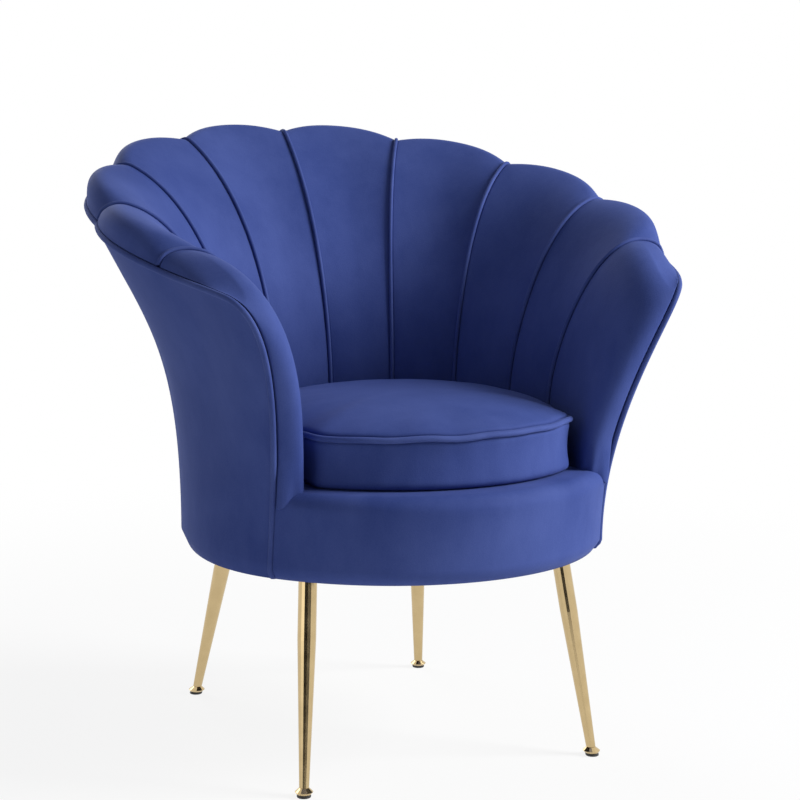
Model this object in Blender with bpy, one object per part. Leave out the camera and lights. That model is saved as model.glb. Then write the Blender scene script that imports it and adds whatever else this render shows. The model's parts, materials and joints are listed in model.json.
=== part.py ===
"""Shell armchair with ten padded petals, a loose boxed seat cushion and four splayed metal legs.

The chair faces -Y and stands on z = 0. Every length is in metres. Places round the shell are given
by a petal station: 0 is the middle of the back, whole numbers are the seams between petals, and
plus or minus petals_per_side are the front edges of the arms.
"""
import math

import bmesh
import bpy
import numpy as np

# Base
base_height = 0.2685
base_radius = 0.273
base_front_out = 0.021
base_bottom_round = 0.012
base_bottom_inset = 0.008
frame_height = 0.084
frame_width = 0.068
frame_board = 0.018
apron_height = 0.111
apron_lip_width = 0.058
apron_lip_round = 0.018

# Shell, inner side
seat_line_height = 0.461
seat_wall = 0.047
seat_set_forward = 0.0405
seat_lean_share = 0.075
crest_half_width = 0.3419
crest_half_depth = 0.3434
crest_set_back = 0.0141
crest_middle_height = 0.7091
rim_slope_share = 0.2788
back_low_reach = 0.097
back_high_reach = 0.155
back_flare = math.radians(51)
side_low_reach = 0.062
side_high_reach = 0.081
side_flare = math.radians(86)
flare_growth_share = 1.5
side_turn = math.radians(80)
turn_growth_share = 1.75

# Shell, rim and outer side
edge_reach = 0.039
edge_drop = 0.0276
edge_round = 0.0203
edge_turn_share = 0.9796
skin_low_reach = 0.264
skin_high_reach = 0.166
skin_flare = math.radians(26.4)
skin_thickness = 0.008
cover_taper_share = 0.25
shell_board = 0.015
shell_board_end_share = 0.6
shell_board_end_gap = 0.006
shell_board_top_share = 0.86

# Petals
petals_per_side = 5
seat_petal_angle = math.radians(23.1)
crest_petal_angle = math.radians(28.1)
arm_crest_angle = math.radians(14.5)
base_petal_angle = math.radians(25.36)
petal_bulge = 0.008
petal_swell_power = 2.5
petal_edge_depth = 0.0118
crest_scallop_height = 0.0056
crest_scallop_reach = 0.0237
edge_scallop_height = 0.0027
edge_scallop_reach = 0.0091

# Arm fronts
arm_corner_side = 0.3143
arm_corner_forward = 0.2281
arm_corner_drop = 0.0843
arm_corner_way_shares = (-0.485, -0.837, -0.253)
arm_edge_low_reach = 0.180
arm_edge_high_reach = 0.0886
arm_rim_reach = 0.047
arm_lean_side_share = -0.044
front_blend_start_share = 0.6
arm_side_reach = 0.11
arm_side_way_shares = (-0.15, -1.0, 0.0)
arm_nose_reach = 0.070
arm_nose_way_shares = (-1.0, -0.35, 0.0)
arm_top_leave_shares = (-0.45, -0.1, 0.9)
arm_hem_way_shares = (-1.0, 0.6, 0.0)

# Welts and seat cushion
channel_welt_radius = 0.00275
edge_welt_radius = 0.00375
cushion_welt_radius = 0.0040
cushion_height = 0.0648
cushion_crown = 0.030
cushion_crown_power = 2.6
cushion_flat_share = 0.55
cushion_front_gap = 0.042
cushion_corner_radius = 0.028
cushion_side_gap = 0.004
cushion_arm_gap = 0.014
cushion_draw_in = 0.003
cushion_bottom_round = 0.012
strap_width = 0.055
strap_thickness = 0.0020
strap_pitch = 0.095
strap_landing = 0.020
dust_cover_thickness = 0.0012
dust_cover_margin = 0.005

# Legs
leg_circle_inset = 0.029
leg_front_angle = math.radians(132.5)
leg_rear_angle = math.radians(36.5)
leg_front_side_share = 0.099
leg_front_along_share = -0.201
leg_rear_side_share = 0.128
leg_rear_along_share = 0.221
leg_top_radius = 0.0118
leg_foot_radius = 0.0063
leg_taper_start = 0.190
leg_foot_height = 0.0118
leg_bore_radius = 0.0043
leg_bore_depth = 0.024
plate_radius = 0.0245
plate_thickness = 0.003
screw_circle_radius = 0.0178
screw_head_radius = 0.0042
screw_head_height = 0.0016
screw_shank_radius = 0.0019
screw_length = 0.016
glide_stem_radius = 0.0040
glide_stem_length = 0.020
glide_collar_radius = 0.0060
glide_disc_radius = 0.0115
glide_disc_height = 0.0065
glide_seat_radius = 0.0092
pad_radius = 0.0089
pad_height = 0.0036

# Gaps between pieces that touch
seam_gap = 0.0003
foam_gap = 0.0006
rim_gap = 0.0018
welt_gap = 0.0004
arm_welt_gap = 0.0009
frame_gap = 0.001

# Round places on the sections
petal_column_shares = (0.10, 0.27, 0.5, 0.73, 0.90)
petal_row_stages = (0.0, 0.55, 1.0, 1.2, 1.4, 1.58, 1.75, 1.88, 2.0, 2.2, 2.45, 2.7)
board_row_shares = (0.0, 0.2, 0.36, 0.49, 0.61, 0.72, 0.82, 0.91, 1.0)
arm_column_shares = (0.08, 0.2, 0.34, 0.48, 0.6, 0.72, 0.83, 0.92)
arm_front_stage_shares = (0.0, 1.0, 2.0, 3.0)
arm_top_share = 0.90
board_top_gap_share = 0.012
rim_row_share = 0.05
rim_stage = 2.9
quarter_shares = (0.0, 0.25, 0.5, 0.75)
cushion_crown_shares = (0.95, 0.86, 0.72, 0.5, 0.25)
arm_skin_shares = (0.0, 0.25, 0.5, 0.6, 0.75, 0.88)

UP = np.array((0.0, 0.0, 1.0))
frame_top = base_height + frame_height
deck_bottom = frame_top + 2 * strap_thickness + 3 * seam_gap
apron_top = base_height + apron_height
arm_corner_height = crest_middle_height - arm_corner_drop
rim_centre_y = crest_set_back
seat_centre_y = -seat_set_forward
cushion_bottom = apron_top + 2 * seam_gap + foam_gap
skin_inside = skin_thickness + foam_gap
board_inside = skin_inside + shell_board
skin_stations = [seam + share for seam in range(petals_per_side - 1) for share in quarter_shares]
skin_stations += [petals_per_side - 1 + share for share in arm_skin_shares]
frame_radius = base_radius - skin_thickness - frame_gap
base_front_radius = base_radius + base_front_out
seat_radius = base_radius - seat_wall
leg_circle_radius = base_radius - leg_circle_inset


def unit(vector):
    return vector / np.linalg.norm(vector)


def outward(angle):
    """Level direction at an angle from the back, turning towards +X."""
    return np.array((math.sin(angle), math.cos(angle), 0.0))


def bezier(start, start_arm, end_arm, end, share):
    rest = 1 - share
    return (rest ** 3 * start + 3 * rest ** 2 * share * start_arm
            + 3 * rest * share ** 2 * end_arm + share ** 3 * end)


def smooth(share):
    share = min(max(share, 0.0), 1.0)
    return share * share * (3 - 2 * share)


def mirrored(points):
    return np.asarray(points) * np.array((-1.0, 1.0, 1.0))


# Shell surfaces, for stations from 0 to petals_per_side; the other side is mirrored


def crest_angle(station):
    last_seam = petals_per_side - 1
    return min(station, last_seam) * crest_petal_angle + max(station - last_seam, 0) * arm_crest_angle


def scallop(station):
    """Height share of the scallop between two seams; the arm petal has none."""
    if station >= petals_per_side - 1:
        return 0.0
    part = station - math.floor(station)
    return 4 * part * (1 - part)


def rim_point(angle, reach, drop):
    wide = crest_half_width + reach
    deep = crest_half_depth + reach
    level = crest_middle_height + rim_slope_share * crest_half_depth * math.cos(angle)
    return np.array((wide * math.sin(angle), rim_centre_y + deep * math.cos(angle), level - drop))


def crest_point(station):
    """Top of the inner face, with its scallop between two seams."""
    angle = crest_angle(station)
    bump = crest_scallop_height * UP + crest_scallop_reach * outward(angle)
    return rim_point(angle, 0, 0) + scallop(station) * bump


def edge_point(station):
    """Edge welt: along the rim, then over the arm petal to the top corner of the arm's front."""
    if station < 0:
        return mirrored(edge_point(-station))
    seam = petals_per_side - 1
    if station <= seam:
        angle = edge_turn_share * crest_angle(station)
        bump = edge_scallop_height * UP + edge_scallop_reach * outward(angle)
        return rim_point(angle, edge_reach, edge_drop) + scallop(station) * bump
    step = math.radians(1)
    angle = edge_turn_share * crest_angle(seam)
    start = rim_point(angle, edge_reach, edge_drop)
    start_way = unit(rim_point(angle + step, edge_reach, edge_drop) - start)
    end = np.array((arm_corner_side, -arm_corner_forward, arm_corner_height))
    end_way = unit(np.array(arm_corner_way_shares))
    leave = start + arm_rim_reach * start_way
    arrive = end - arm_rim_reach * end_way
    return bezier(start, leave, arrive, end, station - seam)


def seat_point(station, height):
    radius = seat_radius - seat_lean_share * (seat_line_height - height)
    centre = np.array((0.0, seat_centre_y, height))
    return centre + radius * outward(seat_petal_angle * station)


def inner_point(station, stage):
    """Padded inner face: stage 0 deck, 1 seat line, 2 crest, 3 outer edge."""
    if station < 0:
        return mirrored(inner_point(-station, stage))
    if stage <= 1:
        return seat_point(station, deck_bottom + stage * (seat_line_height - deck_bottom))
    side = min(station / (petals_per_side - 1), 1.0)
    flare_angle = back_flare + (side_flare - back_flare) * side ** flare_growth_share
    heading = outward(side_turn * (1 - (1 - side) ** turn_growth_share))
    flare = math.sin(flare_angle) * heading + math.cos(flare_angle) * UP
    crest = crest_point(station)
    if stage <= 2:
        low = seat_point(station, seat_line_height)
        rise = unit(seat_lean_share * outward(seat_petal_angle * station) + UP)
        low_reach = back_low_reach + (side_low_reach - back_low_reach) * side
        high_reach = back_high_reach + (side_high_reach - back_high_reach) * side
        return bezier(low, low + low_reach * rise, crest - high_reach * flare, crest, stage - 1)
    edge = edge_point(station)
    return bezier(crest, crest + edge_round * flare, edge + edge_round * UP, edge, stage - 2)


def front_share(station):
    """How far the skin has turned from the shape of the back to that of the arm's front edge."""
    start = petals_per_side * front_blend_start_share
    return smooth((station - start) / (petals_per_side - start))


def outer_point(station, share):
    """Outer skin from the base (0) to the edge welt (1), before its bottom corner is rounded."""
    if station < 0:
        return mirrored(outer_point(-station, share))
    front = front_share(station)
    heading = outward(base_petal_angle * station)
    radius = (1 - front) * base_radius + front * base_front_radius
    low = radius * heading + base_height * UP
    high = edge_point(station)
    rim_heading = outward(crest_angle(station))
    skin_way = math.sin(skin_flare) * rim_heading + math.cos(skin_flare) * UP
    way = unit((1 - front) * skin_way - front * np.array(arm_corner_way_shares))
    low_reach = (1 - front) * skin_low_reach + front * arm_edge_low_reach
    high_reach = (1 - front) * skin_high_reach + front * arm_edge_high_reach
    lean = np.array((arm_lean_side_share, 0.0, 0.0))
    low_arm = low + low_reach * (UP + front * lean)
    return bezier(low, low_arm, high - high_reach * way, high, share)


def skin_normal(station, share):
    """Outward normal of the skin, read a little away from the arm's top corner."""
    station = min(station, petals_per_side - 0.12)
    share = min(max(share, 0.02), 0.97)
    step = 0.01
    along = outer_point(station + step, share) - outer_point(station - step, share)
    rise = outer_point(station, share + step) - outer_point(station, share - step)
    return unit(np.cross(rise, along))


def skin_point(station, share, depth):
    """A point below the outer skin."""
    return outer_point(station, share) - depth * skin_normal(station, share)


def share_at_height(station, height):
    low, high = 0.0, 1.0
    for _ in range(40):
        middle = (low + high) / 2
        if outer_point(station, middle)[2] < height:
            low = middle
        else:
            high = middle
    return low


def board_share(station, row_share, base=frame_top + seam_gap):
    start = share_at_height(station, base)
    return start + (shell_board_top_share - start) * row_share


def arm_edge_share(stage):
    """Place on the arm's front edge that faces a stage of the inner face."""
    marks = (share_at_height(petals_per_side, apron_top + seam_gap),
             share_at_height(petals_per_side, seat_line_height), arm_top_share, 1.0)
    return float(np.interp(stage, arm_front_stage_shares, marks))


# Mesh helpers


def material(name, colour, roughness, metallic):
    made = bpy.data.materials.new(name)
    made.use_nodes = True
    shader = made.node_tree.nodes["Principled BSDF"]
    shader.inputs["Base Color"].default_value = (*colour, 1.0)
    shader.inputs["Roughness"].default_value = roughness
    shader.inputs["Metallic"].default_value = metallic
    made.diffuse_color = (*colour, 1.0)
    return made


def add_object(name, vertices, faces, look, origin=(0.0, 0.0, 0.0), parent=None, sharp=math.radians(40)):
    mesh = bpy.data.meshes.new(name)
    local = np.asarray(vertices, dtype=float) - np.asarray(origin)
    mesh.from_pydata([tuple(map(float, point)) for point in local], [], faces)
    work = bmesh.new()
    work.from_mesh(mesh)
    bmesh.ops.recalc_face_normals(work, faces=work.faces)
    work.to_mesh(mesh)
    work.free()
    mesh.shade_smooth()
    mesh.set_sharp_from_angle(angle=sharp)
    mesh.materials.append(look)
    made = bpy.data.objects.new(name, mesh)
    bpy.context.scene.collection.objects.link(made)
    made.location = origin
    made.parent = parent
    return made


def loop_faces(rows, columns, start=0, closed_rows=False, turned=0):
    """Triangles between closed loops of vertices; the first turned columns take the other diagonal."""
    faces = []
    last = rows if closed_rows else rows - 1
    for row in range(last):
        following = (row + 1) % rows
        for column in range(columns):
            side = (column + 1) % columns
            a = start + row * columns + column
            b = start + row * columns + side
            c = start + following * columns + side
            d = start + following * columns + column
            faces += [(a, b, d), (b, c, d)] if column < turned else [(a, b, c), (a, c, d)]
    return faces


def loft(sections, closed_rows=False, start=0, turned=0):
    """Vertices and faces of a solid through closed sections with flat ends."""
    sections = np.asarray(sections)
    rows, columns = sections.shape[:2]
    faces = loop_faces(rows, columns, start, closed_rows, turned)
    if not closed_rows:
        faces.append(tuple(start + column for column in range(columns)))
        faces.append(tuple(start + (rows - 1) * columns + column for column in range(columns)))
    return [point for row in sections for point in row], faces


def close_end(faces, row_start, front_count, columns):
    """Replace a loft's last flat end by a strip between the front and back points of its last section."""
    faces.pop()
    front = list(range(row_start, row_start + front_count))
    back = list(range(row_start + columns - 1, row_start + front_count - 1, -1))
    i, j = 0, 0
    while i < len(front) - 1 or j < len(back) - 1:
        front_next = (i + 1) / (len(front) - 1)
        back_next = (j + 1) / (len(back) - 1)
        if j == len(back) - 1 or (i < len(front) - 1 and front_next <= back_next):
            faces.append((front[i], front[i + 1], back[j]))
            i += 1
        else:
            faces.append((front[i], back[j + 1], back[j]))
            j += 1


def plate_between(outside, inside):
    """Vertices and faces of a plate between two grids of points, alike on both sides of their middle."""
    outside = np.asarray(outside)
    inside = np.asarray(inside)
    rows, columns = outside.shape[:2]
    vertices = list(outside.reshape(-1, 3)) + list(inside.reshape(-1, 3))
    offset = rows * columns
    faces = []
    for row in range(rows - 1):
        for column in range(columns - 1):
            a = row * columns + column
            b, c, d = a + 1, a + columns + 1, a + columns
            pair = [(a, b, c), (a, c, d)] if column >= columns // 2 else [(a, b, d), (b, c, d)]
            faces += pair
            faces += [(offset + k, offset + j, offset + i) for i, j, k in pair]
    border = [(0, column) for column in range(columns)]
    border += [(row, columns - 1) for row in range(1, rows)]
    border += [(rows - 1, column) for column in range(columns - 2, -1, -1)]
    border += [(row, 0) for row in range(rows - 2, 0, -1)]
    for here, there in zip(border, border[1:] + border[:1]):
        a = here[0] * columns + here[1]
        b = there[0] * columns + there[1]
        faces += [(a, b, offset + b), (a, offset + b, offset + a)]
    return vertices, faces


def tube_sections(path, radius, sides, closed=False, start_normal=None, flat_ends=None):
    """Rings round a path, turned as little as possible from one to the next."""
    path = np.asarray(path)
    count = len(path)
    rings = []
    normal = start_normal
    for index in range(count):
        if closed:
            way = path[(index + 1) % count] - path[index - 1]
        else:
            way = path[min(index + 1, count - 1)] - path[max(index - 1, 0)]
        way = unit(way)
        if flat_ends is not None and index in (0, count - 1):
            way = flat_ends if index == 0 else -flat_ends
        if normal is None:
            normal = np.cross(way, UP if abs(way[2]) < 0.9 else np.array((1.0, 0.0, 0.0)))
        normal = unit(normal - way * float(normal @ way))
        across = np.cross(way, normal)
        turns = [2 * math.pi * side / sides for side in range(sides)]
        rings.append([path[index] + radius * (math.cos(turn) * normal + math.sin(turn) * across)
                      for turn in turns])
    return rings


def circle_section(centre, radius, sides):
    return [np.asarray(centre) + radius * outward(-2 * math.pi * side / sides) for side in range(sides)]


# Petals


def end_stage(station, clearance):
    """Stage at which the inner face has come down to a clearance from the edge welt's middle."""
    step = 0.01
    way = unit(edge_point(station + step) - edge_point(station - step))
    return 3 - clearance / math.hypot(way[0], way[1]) / (3 * edge_round)


def padded_point(station, stage):
    """Inner face with the swell of a petal between its seams."""
    part = station - math.floor(station)
    amount = 1 - abs(2 * part - 1) ** petal_swell_power
    fade = 1.0 if stage <= 2 else 1 - smooth(stage - 2)
    step = 0.01
    along = inner_point(station + step, stage) - inner_point(station - step, stage)
    if stage <= 1:
        rise = UP
    else:
        rise = inner_point(station, min(stage + step, 3)) - inner_point(station, stage - step)
    normal = unit(np.cross(along, rise))
    return inner_point(station, stage) + petal_bulge * amount * fade * normal


def petal_back(station, row, over_board=False):
    """Back of a petal against the shell board, over its top edge and up inside the outer cover."""
    last = len(board_row_shares) - 1
    over = over_board or row > last + 1
    depth = skin_inside + rim_gap if over else board_inside + foam_gap
    if row == 0:
        share = share_at_height(station, deck_bottom)
    elif row <= last:
        share = board_share(station, board_row_shares[row])
    else:
        share = shell_board_top_share + board_top_gap_share + max(row - last - 2, 0) * rim_row_share
    return skin_point(station, share, depth)


def petal_rim(station, inset):
    """Point just above the edge welt, or a little inwards from there."""
    step = 0.01
    seam = petals_per_side - 1
    last = min(station + step, petals_per_side)
    way = unit(edge_point(last) - edge_point(last - 2 * step))
    inward = unit(np.cross(way, UP) * np.array((1.0, 1.0, 0.0)))
    turn = max(station - seam, 0.0)
    lift = unit((1 - turn) * UP + turn * unit(np.array(arm_top_leave_shares)))
    lift = unit(lift - way * float(lift @ way))
    return edge_point(station) + (edge_welt_radius + foam_gap) * lift + inset * inward


def side_share(front, seam, stage, back):
    """Smallest share beside a seam at which the wall from front(share) to a back point clears the welt."""
    step = 0.01
    centre = inner_point(seam, stage)
    rise = unit(inner_point(seam, min(stage + step, 3.0)) - inner_point(seam, max(stage - step, 0.0)))
    clearance = channel_welt_radius + (arm_welt_gap if seam == petals_per_side - 1 else welt_gap)
    low, high = 0.0, 0.25
    for _ in range(16):
        middle = (low + high) / 2
        start = front(middle)
        wall = back - start
        wall = wall - rise * float(wall @ rise)
        offset = centre - start
        offset = offset - rise * float(offset @ rise)
        along = min(max(float(offset @ wall) / float(wall @ wall), 0.0), 1.0)
        if np.linalg.norm(offset - along * wall) < clearance:
            low = middle
        else:
            high = middle
    return high


def petal_sections(seam):
    """Closed sections of the petal between a seam and the next, from the deck to the edge welt."""
    hair = seam_gap / (base_petal_angle * base_radius)
    back_stations = [seam + 1 - hair] + [seam + share for share in quarter_shares[:0:-1]] + [seam + hair]
    sections = []
    for row in range(len(petal_row_stages) + 1):
        last = row == len(petal_row_stages)
        stage = rim_stage if last else petal_row_stages[row]

        def face(station):
            return petal_rim(station, 0) if last else padded_point(station, stage)

        if last:
            back = [petal_rim(station, petal_edge_depth) for station in back_stations]
        else:
            back = [petal_back(station, row) for station in back_stations]
        near = side_share(lambda share: face(seam + share), seam, stage, back[-1])
        far = side_share(lambda share: face(seam + 1 - share), seam + 1, stage, back[0])
        stations = [seam + near] + [seam + share for share in petal_column_shares] + [seam + 1 - far]
        sections.append([face(station) for station in stations] + back)
    return np.asarray(sections)


def arm_point(share, stage):
    """Arm-front petal, from the last seam (0) round the nose to the arm's front edge (1)."""
    seam = petals_per_side - 1
    seam_side = inner_point(seam, stage)
    edge = outer_point(petals_per_side, arm_edge_share(stage))
    step = 0.01
    top = smooth((stage - 1) / 2)
    rim_along = (inner_point(seam + step, stage) - seam_side) / step / 3
    rim_back = (edge_point(petals_per_side - step) - edge_point(petals_per_side)) / step / 3
    nose_way = unit(np.array(arm_nose_way_shares))
    leave = unit((1 - top) * nose_way + top * unit(np.array(arm_top_leave_shares)))
    start_way = unit(np.array(arm_side_way_shares))
    start_arm = (1 - top) * arm_side_reach * start_way + top * rim_along
    end_arm = (1 - top) * arm_nose_reach * nose_way + top * rim_back
    edge_side = edge + (edge_welt_radius + foam_gap) * leave
    return bezier(seam_side, seam_side + start_arm, edge_side + end_arm, edge_side, share)


def arm_low_stage(share):
    """The arm petal's bottom lies on the deck at the seam and on the front apron at the nose."""
    nose = (apron_top + seam_gap - deck_bottom) / (seat_line_height - deck_bottom)
    return nose * smooth(2 * share)


def arm_sections():
    seam = petals_per_side - 1
    hair = frame_gap / (base_petal_angle * base_radius)
    over_end = shell_board_end_share + shell_board_end_gap / (base_petal_angle * base_radius)
    over_shares = (*arm_skin_shares[:-3:-1], over_end)
    inner_shares = (over_end, *quarter_shares[2:0:-1], hair)
    inward = outer_point(petals_per_side - 0.1, 0.5) - outer_point(petals_per_side, 0.5)
    hem_way = unit(unit(inward) + np.array(arm_hem_way_shares))
    sections = []
    for row in range(len(petal_row_stages) + 1):
        last = row == len(petal_row_stages)
        stage = rim_stage if last else petal_row_stages[row]

        def face(share):
            if last:
                return petal_rim(seam + share, 0)
            return arm_point(share, max(stage, arm_low_stage(share)))

        if last:
            shares = (1.0, *over_shares, *inner_shares)
            back = [petal_rim(seam + share, petal_edge_depth) for share in shares]
        else:
            back = [face(1.0) + petal_edge_depth * hem_way]
            back += [petal_back(seam + share, row, over_board=True) for share in over_shares]
            if row == 0:
                back = [point * np.array((1.0, 1.0, 0.0)) + (apron_top + seam_gap) * UP for point in back]
            back += [petal_back(seam + share, row) for share in inner_shares]
        near = side_share(face, seam, stage, back[-1])
        sections.append([face(share) for share in (near, *arm_column_shares, 1.0)] + back)
    return np.asarray(sections)


def add_petal(name, sections, front_count, look):
    rows, columns = sections.shape[:2]
    vertices, faces = loft(sections, turned=columns - 1)
    close_end(faces, (rows - 1) * columns, front_count, columns)
    add_object(name, vertices, faces, look)


def add_petals(look):
    names = ["petal_%02d" % (number + 1) for number in range(2 * petals_per_side)]
    for seam in range(petals_per_side - 1):
        sections = petal_sections(seam)
        front_count = len(petal_column_shares) + 2
        add_petal(names[petals_per_side + seam], sections, front_count, look)
        add_petal(names[petals_per_side - 1 - seam], mirrored(sections), front_count, look)
    sections = arm_sections()
    front_count = len(arm_column_shares) + 2
    add_petal(names[-1], sections, front_count, look)
    add_petal(names[0], mirrored(sections), front_count, look)


def add_channel_welts(look):
    reach = edge_welt_radius + channel_welt_radius + seam_gap
    number = 1
    for seam in range(1 - petals_per_side, petals_per_side):
        stages = (*petal_row_stages, end_stage(abs(seam), reach))
        path = [inner_point(abs(seam), stage) for stage in stages]
        path[0] = path[0] + seam_gap * UP
        if seam < 0:
            path = mirrored(path)
        rings = tube_sections(path, channel_welt_radius, 6, start_normal=outward(seam * seat_petal_angle))
        add_object("channel_welt_%d" % number, *loft(rings), look)
        number += 1


def edge_welt_path():
    """Up one arm's front edge, over the scalloped rim and down the other arm."""
    rounding = share_at_height(petals_per_side, base_height + base_bottom_round)
    arm = [outer_point(petals_per_side, share) for share in (0.0, *np.linspace(rounding, 1.0, 16)[:-1])]
    seam_shares = (0.0,) + petal_column_shares
    rim_stations = [seam + share for seam in range(petals_per_side) for share in seam_shares]
    rim_stations = rim_stations[:0:-1]
    rim = [edge_point(station) for station in [petals_per_side] + rim_stations]
    half = arm + rim
    return np.concatenate((mirrored(half), [edge_point(0.0)], half[::-1]))


def add_edge_welt(look):
    path = edge_welt_path()
    for end in (0, -1):
        path[end] -= base_bottom_inset * unit(path[end] * np.array((1.0, 1.0, 0.0)))
    rings = tube_sections(path, edge_welt_radius, 6, flat_ends=UP)
    add_object("edge_welt", *loft(rings), look)


# Outer skin and shell board


def both_halves(columns):
    """Rows of points from the left front edge round the back to the right front edge."""
    right = np.asarray(columns).transpose(1, 0, 2)
    return np.concatenate((mirrored(right[:, :0:-1]), right), axis=1)


def largest_clear(place, path, clearance):
    """Largest share (0 to 1) at which a moving place keeps a clearance from a path."""
    start, way = path[:-1], np.diff(path, axis=0)
    low, high = 0.0, 1.0
    for _ in range(20):
        middle = (low + high) / 2
        offset = place(middle) - start
        along = np.clip((offset * way).sum(1) / (way * way).sum(1), 0, 1)
        gap = np.linalg.norm(offset - along[:, None] * way, axis=1).min()
        if gap < clearance:
            high = middle
        else:
            low = middle
    return low


def cover_share(station, row, top_share):
    """Rows of the outer cover: base, top of its rounding, shell board rows, then up to its top."""
    board_rows = len(board_row_shares)
    if row == 0:
        return 0.0
    if row == 1:
        return share_at_height(station, base_height + base_bottom_round)
    if row < board_rows + 2:
        return board_share(station, board_row_shares[row - 2])
    board_top = board_share(station, board_row_shares[-1])
    return board_top + (top_share - board_top) * (row - board_rows - 1) / 2


def add_outer_cover(look):
    path = edge_welt_path()
    path = path[len(path) // 2 - 1:]
    clearance = edge_welt_radius + frame_gap
    rows = len(board_row_shares) + 4
    last = skin_stations[-1]
    columns = []
    for station in skin_stations:
        top = largest_clear(lambda share: outer_point(station, share), path, clearance)
        columns.append([(station, cover_share(station, row, top)) for row in range(rows)])
    front = []
    for row in range(rows):
        def place(part):
            station = last + part * (petals_per_side - last)
            return station, cover_share(station, row, top)

        front.append(place(largest_clear(lambda part: outer_point(*place(part)), path, clearance)))
    columns.append(front)
    outside = np.array([[outer_point(*place) for place in column] for column in columns])
    depths = [skin_thickness * (1 - cover_taper_share * max(row - rows + 3, 0)) for row in range(rows)]
    inside = [[skin_point(*place, depth) for place, depth in zip(column, depths)] for column in columns]
    for column, places in enumerate(columns):
        outside[column][0] -= base_bottom_inset * outward(base_petal_angle * places[0][0])
    add_object("outer_cover", *plate_between(both_halves(outside), both_halves(inside)), look)


def add_back_shell(look):
    end = petals_per_side - 1 + shell_board_end_share
    places = [[(station, board_share(station, share)) for share in board_row_shares]
              for station in skin_stations if station <= end]
    outside = [[skin_point(*place, skin_inside) for place in column] for column in places]
    inside = [[skin_point(*place, board_inside) for place in column] for column in places]
    add_object("back_shell", *plate_between(both_halves(outside), both_halves(inside)), look)


# Base


def apron_end_angle(height):
    edge = outer_point(petals_per_side, share_at_height(petals_per_side, height))
    radius = math.hypot(edge[0], edge[1])
    return math.atan2(edge[0], edge[1]) + (edge_welt_radius + seam_gap) / radius


def apron_radius(height):
    edge = outer_point(petals_per_side, share_at_height(petals_per_side, height))
    return math.hypot(edge[0], edge[1])


def add_front_apron(look):
    lip = apron_top
    shoulder = lip - apron_lip_round
    top_radius = apron_radius(lip)
    lip_inside = top_radius - apron_lip_width
    band = frame_radius + seam_gap
    section = [(apron_radius(base_height) - base_bottom_inset, base_height),
               (apron_radius(base_height + base_bottom_round), base_height + base_bottom_round),
               (apron_radius((base_height + shoulder) / 2), (base_height + shoulder) / 2)]
    for turn in (0.0, 0.25, 0.5, 0.75, 1.0):
        angle = turn * math.pi / 2
        radius = apron_radius(shoulder) - apron_lip_round * (1 - math.cos(angle))
        section.append((radius, shoulder + apron_lip_round * math.sin(angle)))
    section += [(lip_inside, lip), (lip_inside, frame_top + seam_gap), (band, frame_top + seam_gap),
                (band, base_height)]
    columns = 29
    sections = []
    for column in range(columns):
        share = column / (columns - 1)
        ring = []
        for radius, height in section:
            end = apron_end_angle(height)
            angle = end + share * 2 * (math.pi - end)
            ring.append(radius * outward(angle) + height * UP)
        sections.append(ring)
    add_object("front_apron", *loft(sections), look)


def add_seat_frame(look):
    """Ring of plywood with a C section, open to the middle."""
    bottom = base_height + dust_cover_thickness + seam_gap
    inside = frame_radius - frame_width
    wall = frame_radius - frame_board
    section = [(frame_radius, bottom), (frame_radius, frame_top), (inside, frame_top),
               (inside, frame_top - frame_board), (wall, frame_top - frame_board),
               (wall, bottom + frame_board), (inside, bottom + frame_board), (inside, bottom)]
    sides = 36
    sections = [[radius * outward(2 * math.pi * side / sides) + height * UP for radius, height in section]
                for side in range(sides)]
    return add_object("seat_frame", *loft(sections, closed_rows=True), look, sharp=math.radians(30))


def add_straps(look):
    """Two layers of webbing across the ring, front to back over side to side."""
    inside = frame_radius - frame_width
    low = frame_top + seam_gap
    count = 3
    for number in range(count):
        place = (number - (count - 1) / 2) * strap_pitch
        half = math.sqrt(inside ** 2 - (abs(place) + strap_width / 2) ** 2) + strap_landing
        corners = [(-half, low), (half, low), (half, low + strap_thickness), (-half, low + strap_thickness)]
        sections = [[np.array((x, place + side * strap_width / 2, z)) for x, z in corners]
                    for side in (-1, 1)]
        add_object("cross_strap_%d" % (number + 1), *loft(sections), look)
    lift = strap_thickness + seam_gap
    reach = (count - 1) / 2 * strap_pitch + strap_width / 2 + strap_landing / 4
    for number in range(count):
        place = (number - (count - 1) / 2) * strap_pitch
        half = math.sqrt(inside ** 2 - (abs(place) + strap_width / 2) ** 2) + strap_landing
        path = [(-half, low), (-reach - strap_landing / 2, low), (-reach, low + lift), (reach, low + lift),
                (reach + strap_landing / 2, low), (half, low)]
        outline = path + [(y, z + strap_thickness) for y, z in path[::-1]]
        sections = [[np.array((place + side * strap_width / 2, y, z)) for y, z in outline]
                    for side in (-1, 1)]
        add_object("long_strap_%d" % (number + 1), *loft(sections), look)


def seat_outline(rear_radius, half_width, front_radius, corner_radius):
    """D plan of the seat: a rear arc, straight sides between the arm fronts and a bowed front."""
    turn = math.pi - math.asin(half_width / rear_radius)
    points = [np.array((0.0, seat_centre_y, 0.0)) + rear_radius * outward(turn * step / 9)
              for step in range(10)]
    across = half_width - corner_radius
    corner_y = -math.sqrt((front_radius - corner_radius) ** 2 - across ** 2)
    corner = np.array((across, corner_y, 0.0))
    last = math.atan2(across, corner_y)
    points += [corner + corner_radius * outward(math.pi / 2 + (last - math.pi / 2) * step / 4)
               for step in range(5)]
    points += [front_radius * outward(last + (math.pi - last) * step / 5) for step in range(1, 6)]
    left = [mirrored(point) for point in points[-2:0:-1]]
    return np.asarray(points + left)


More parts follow.
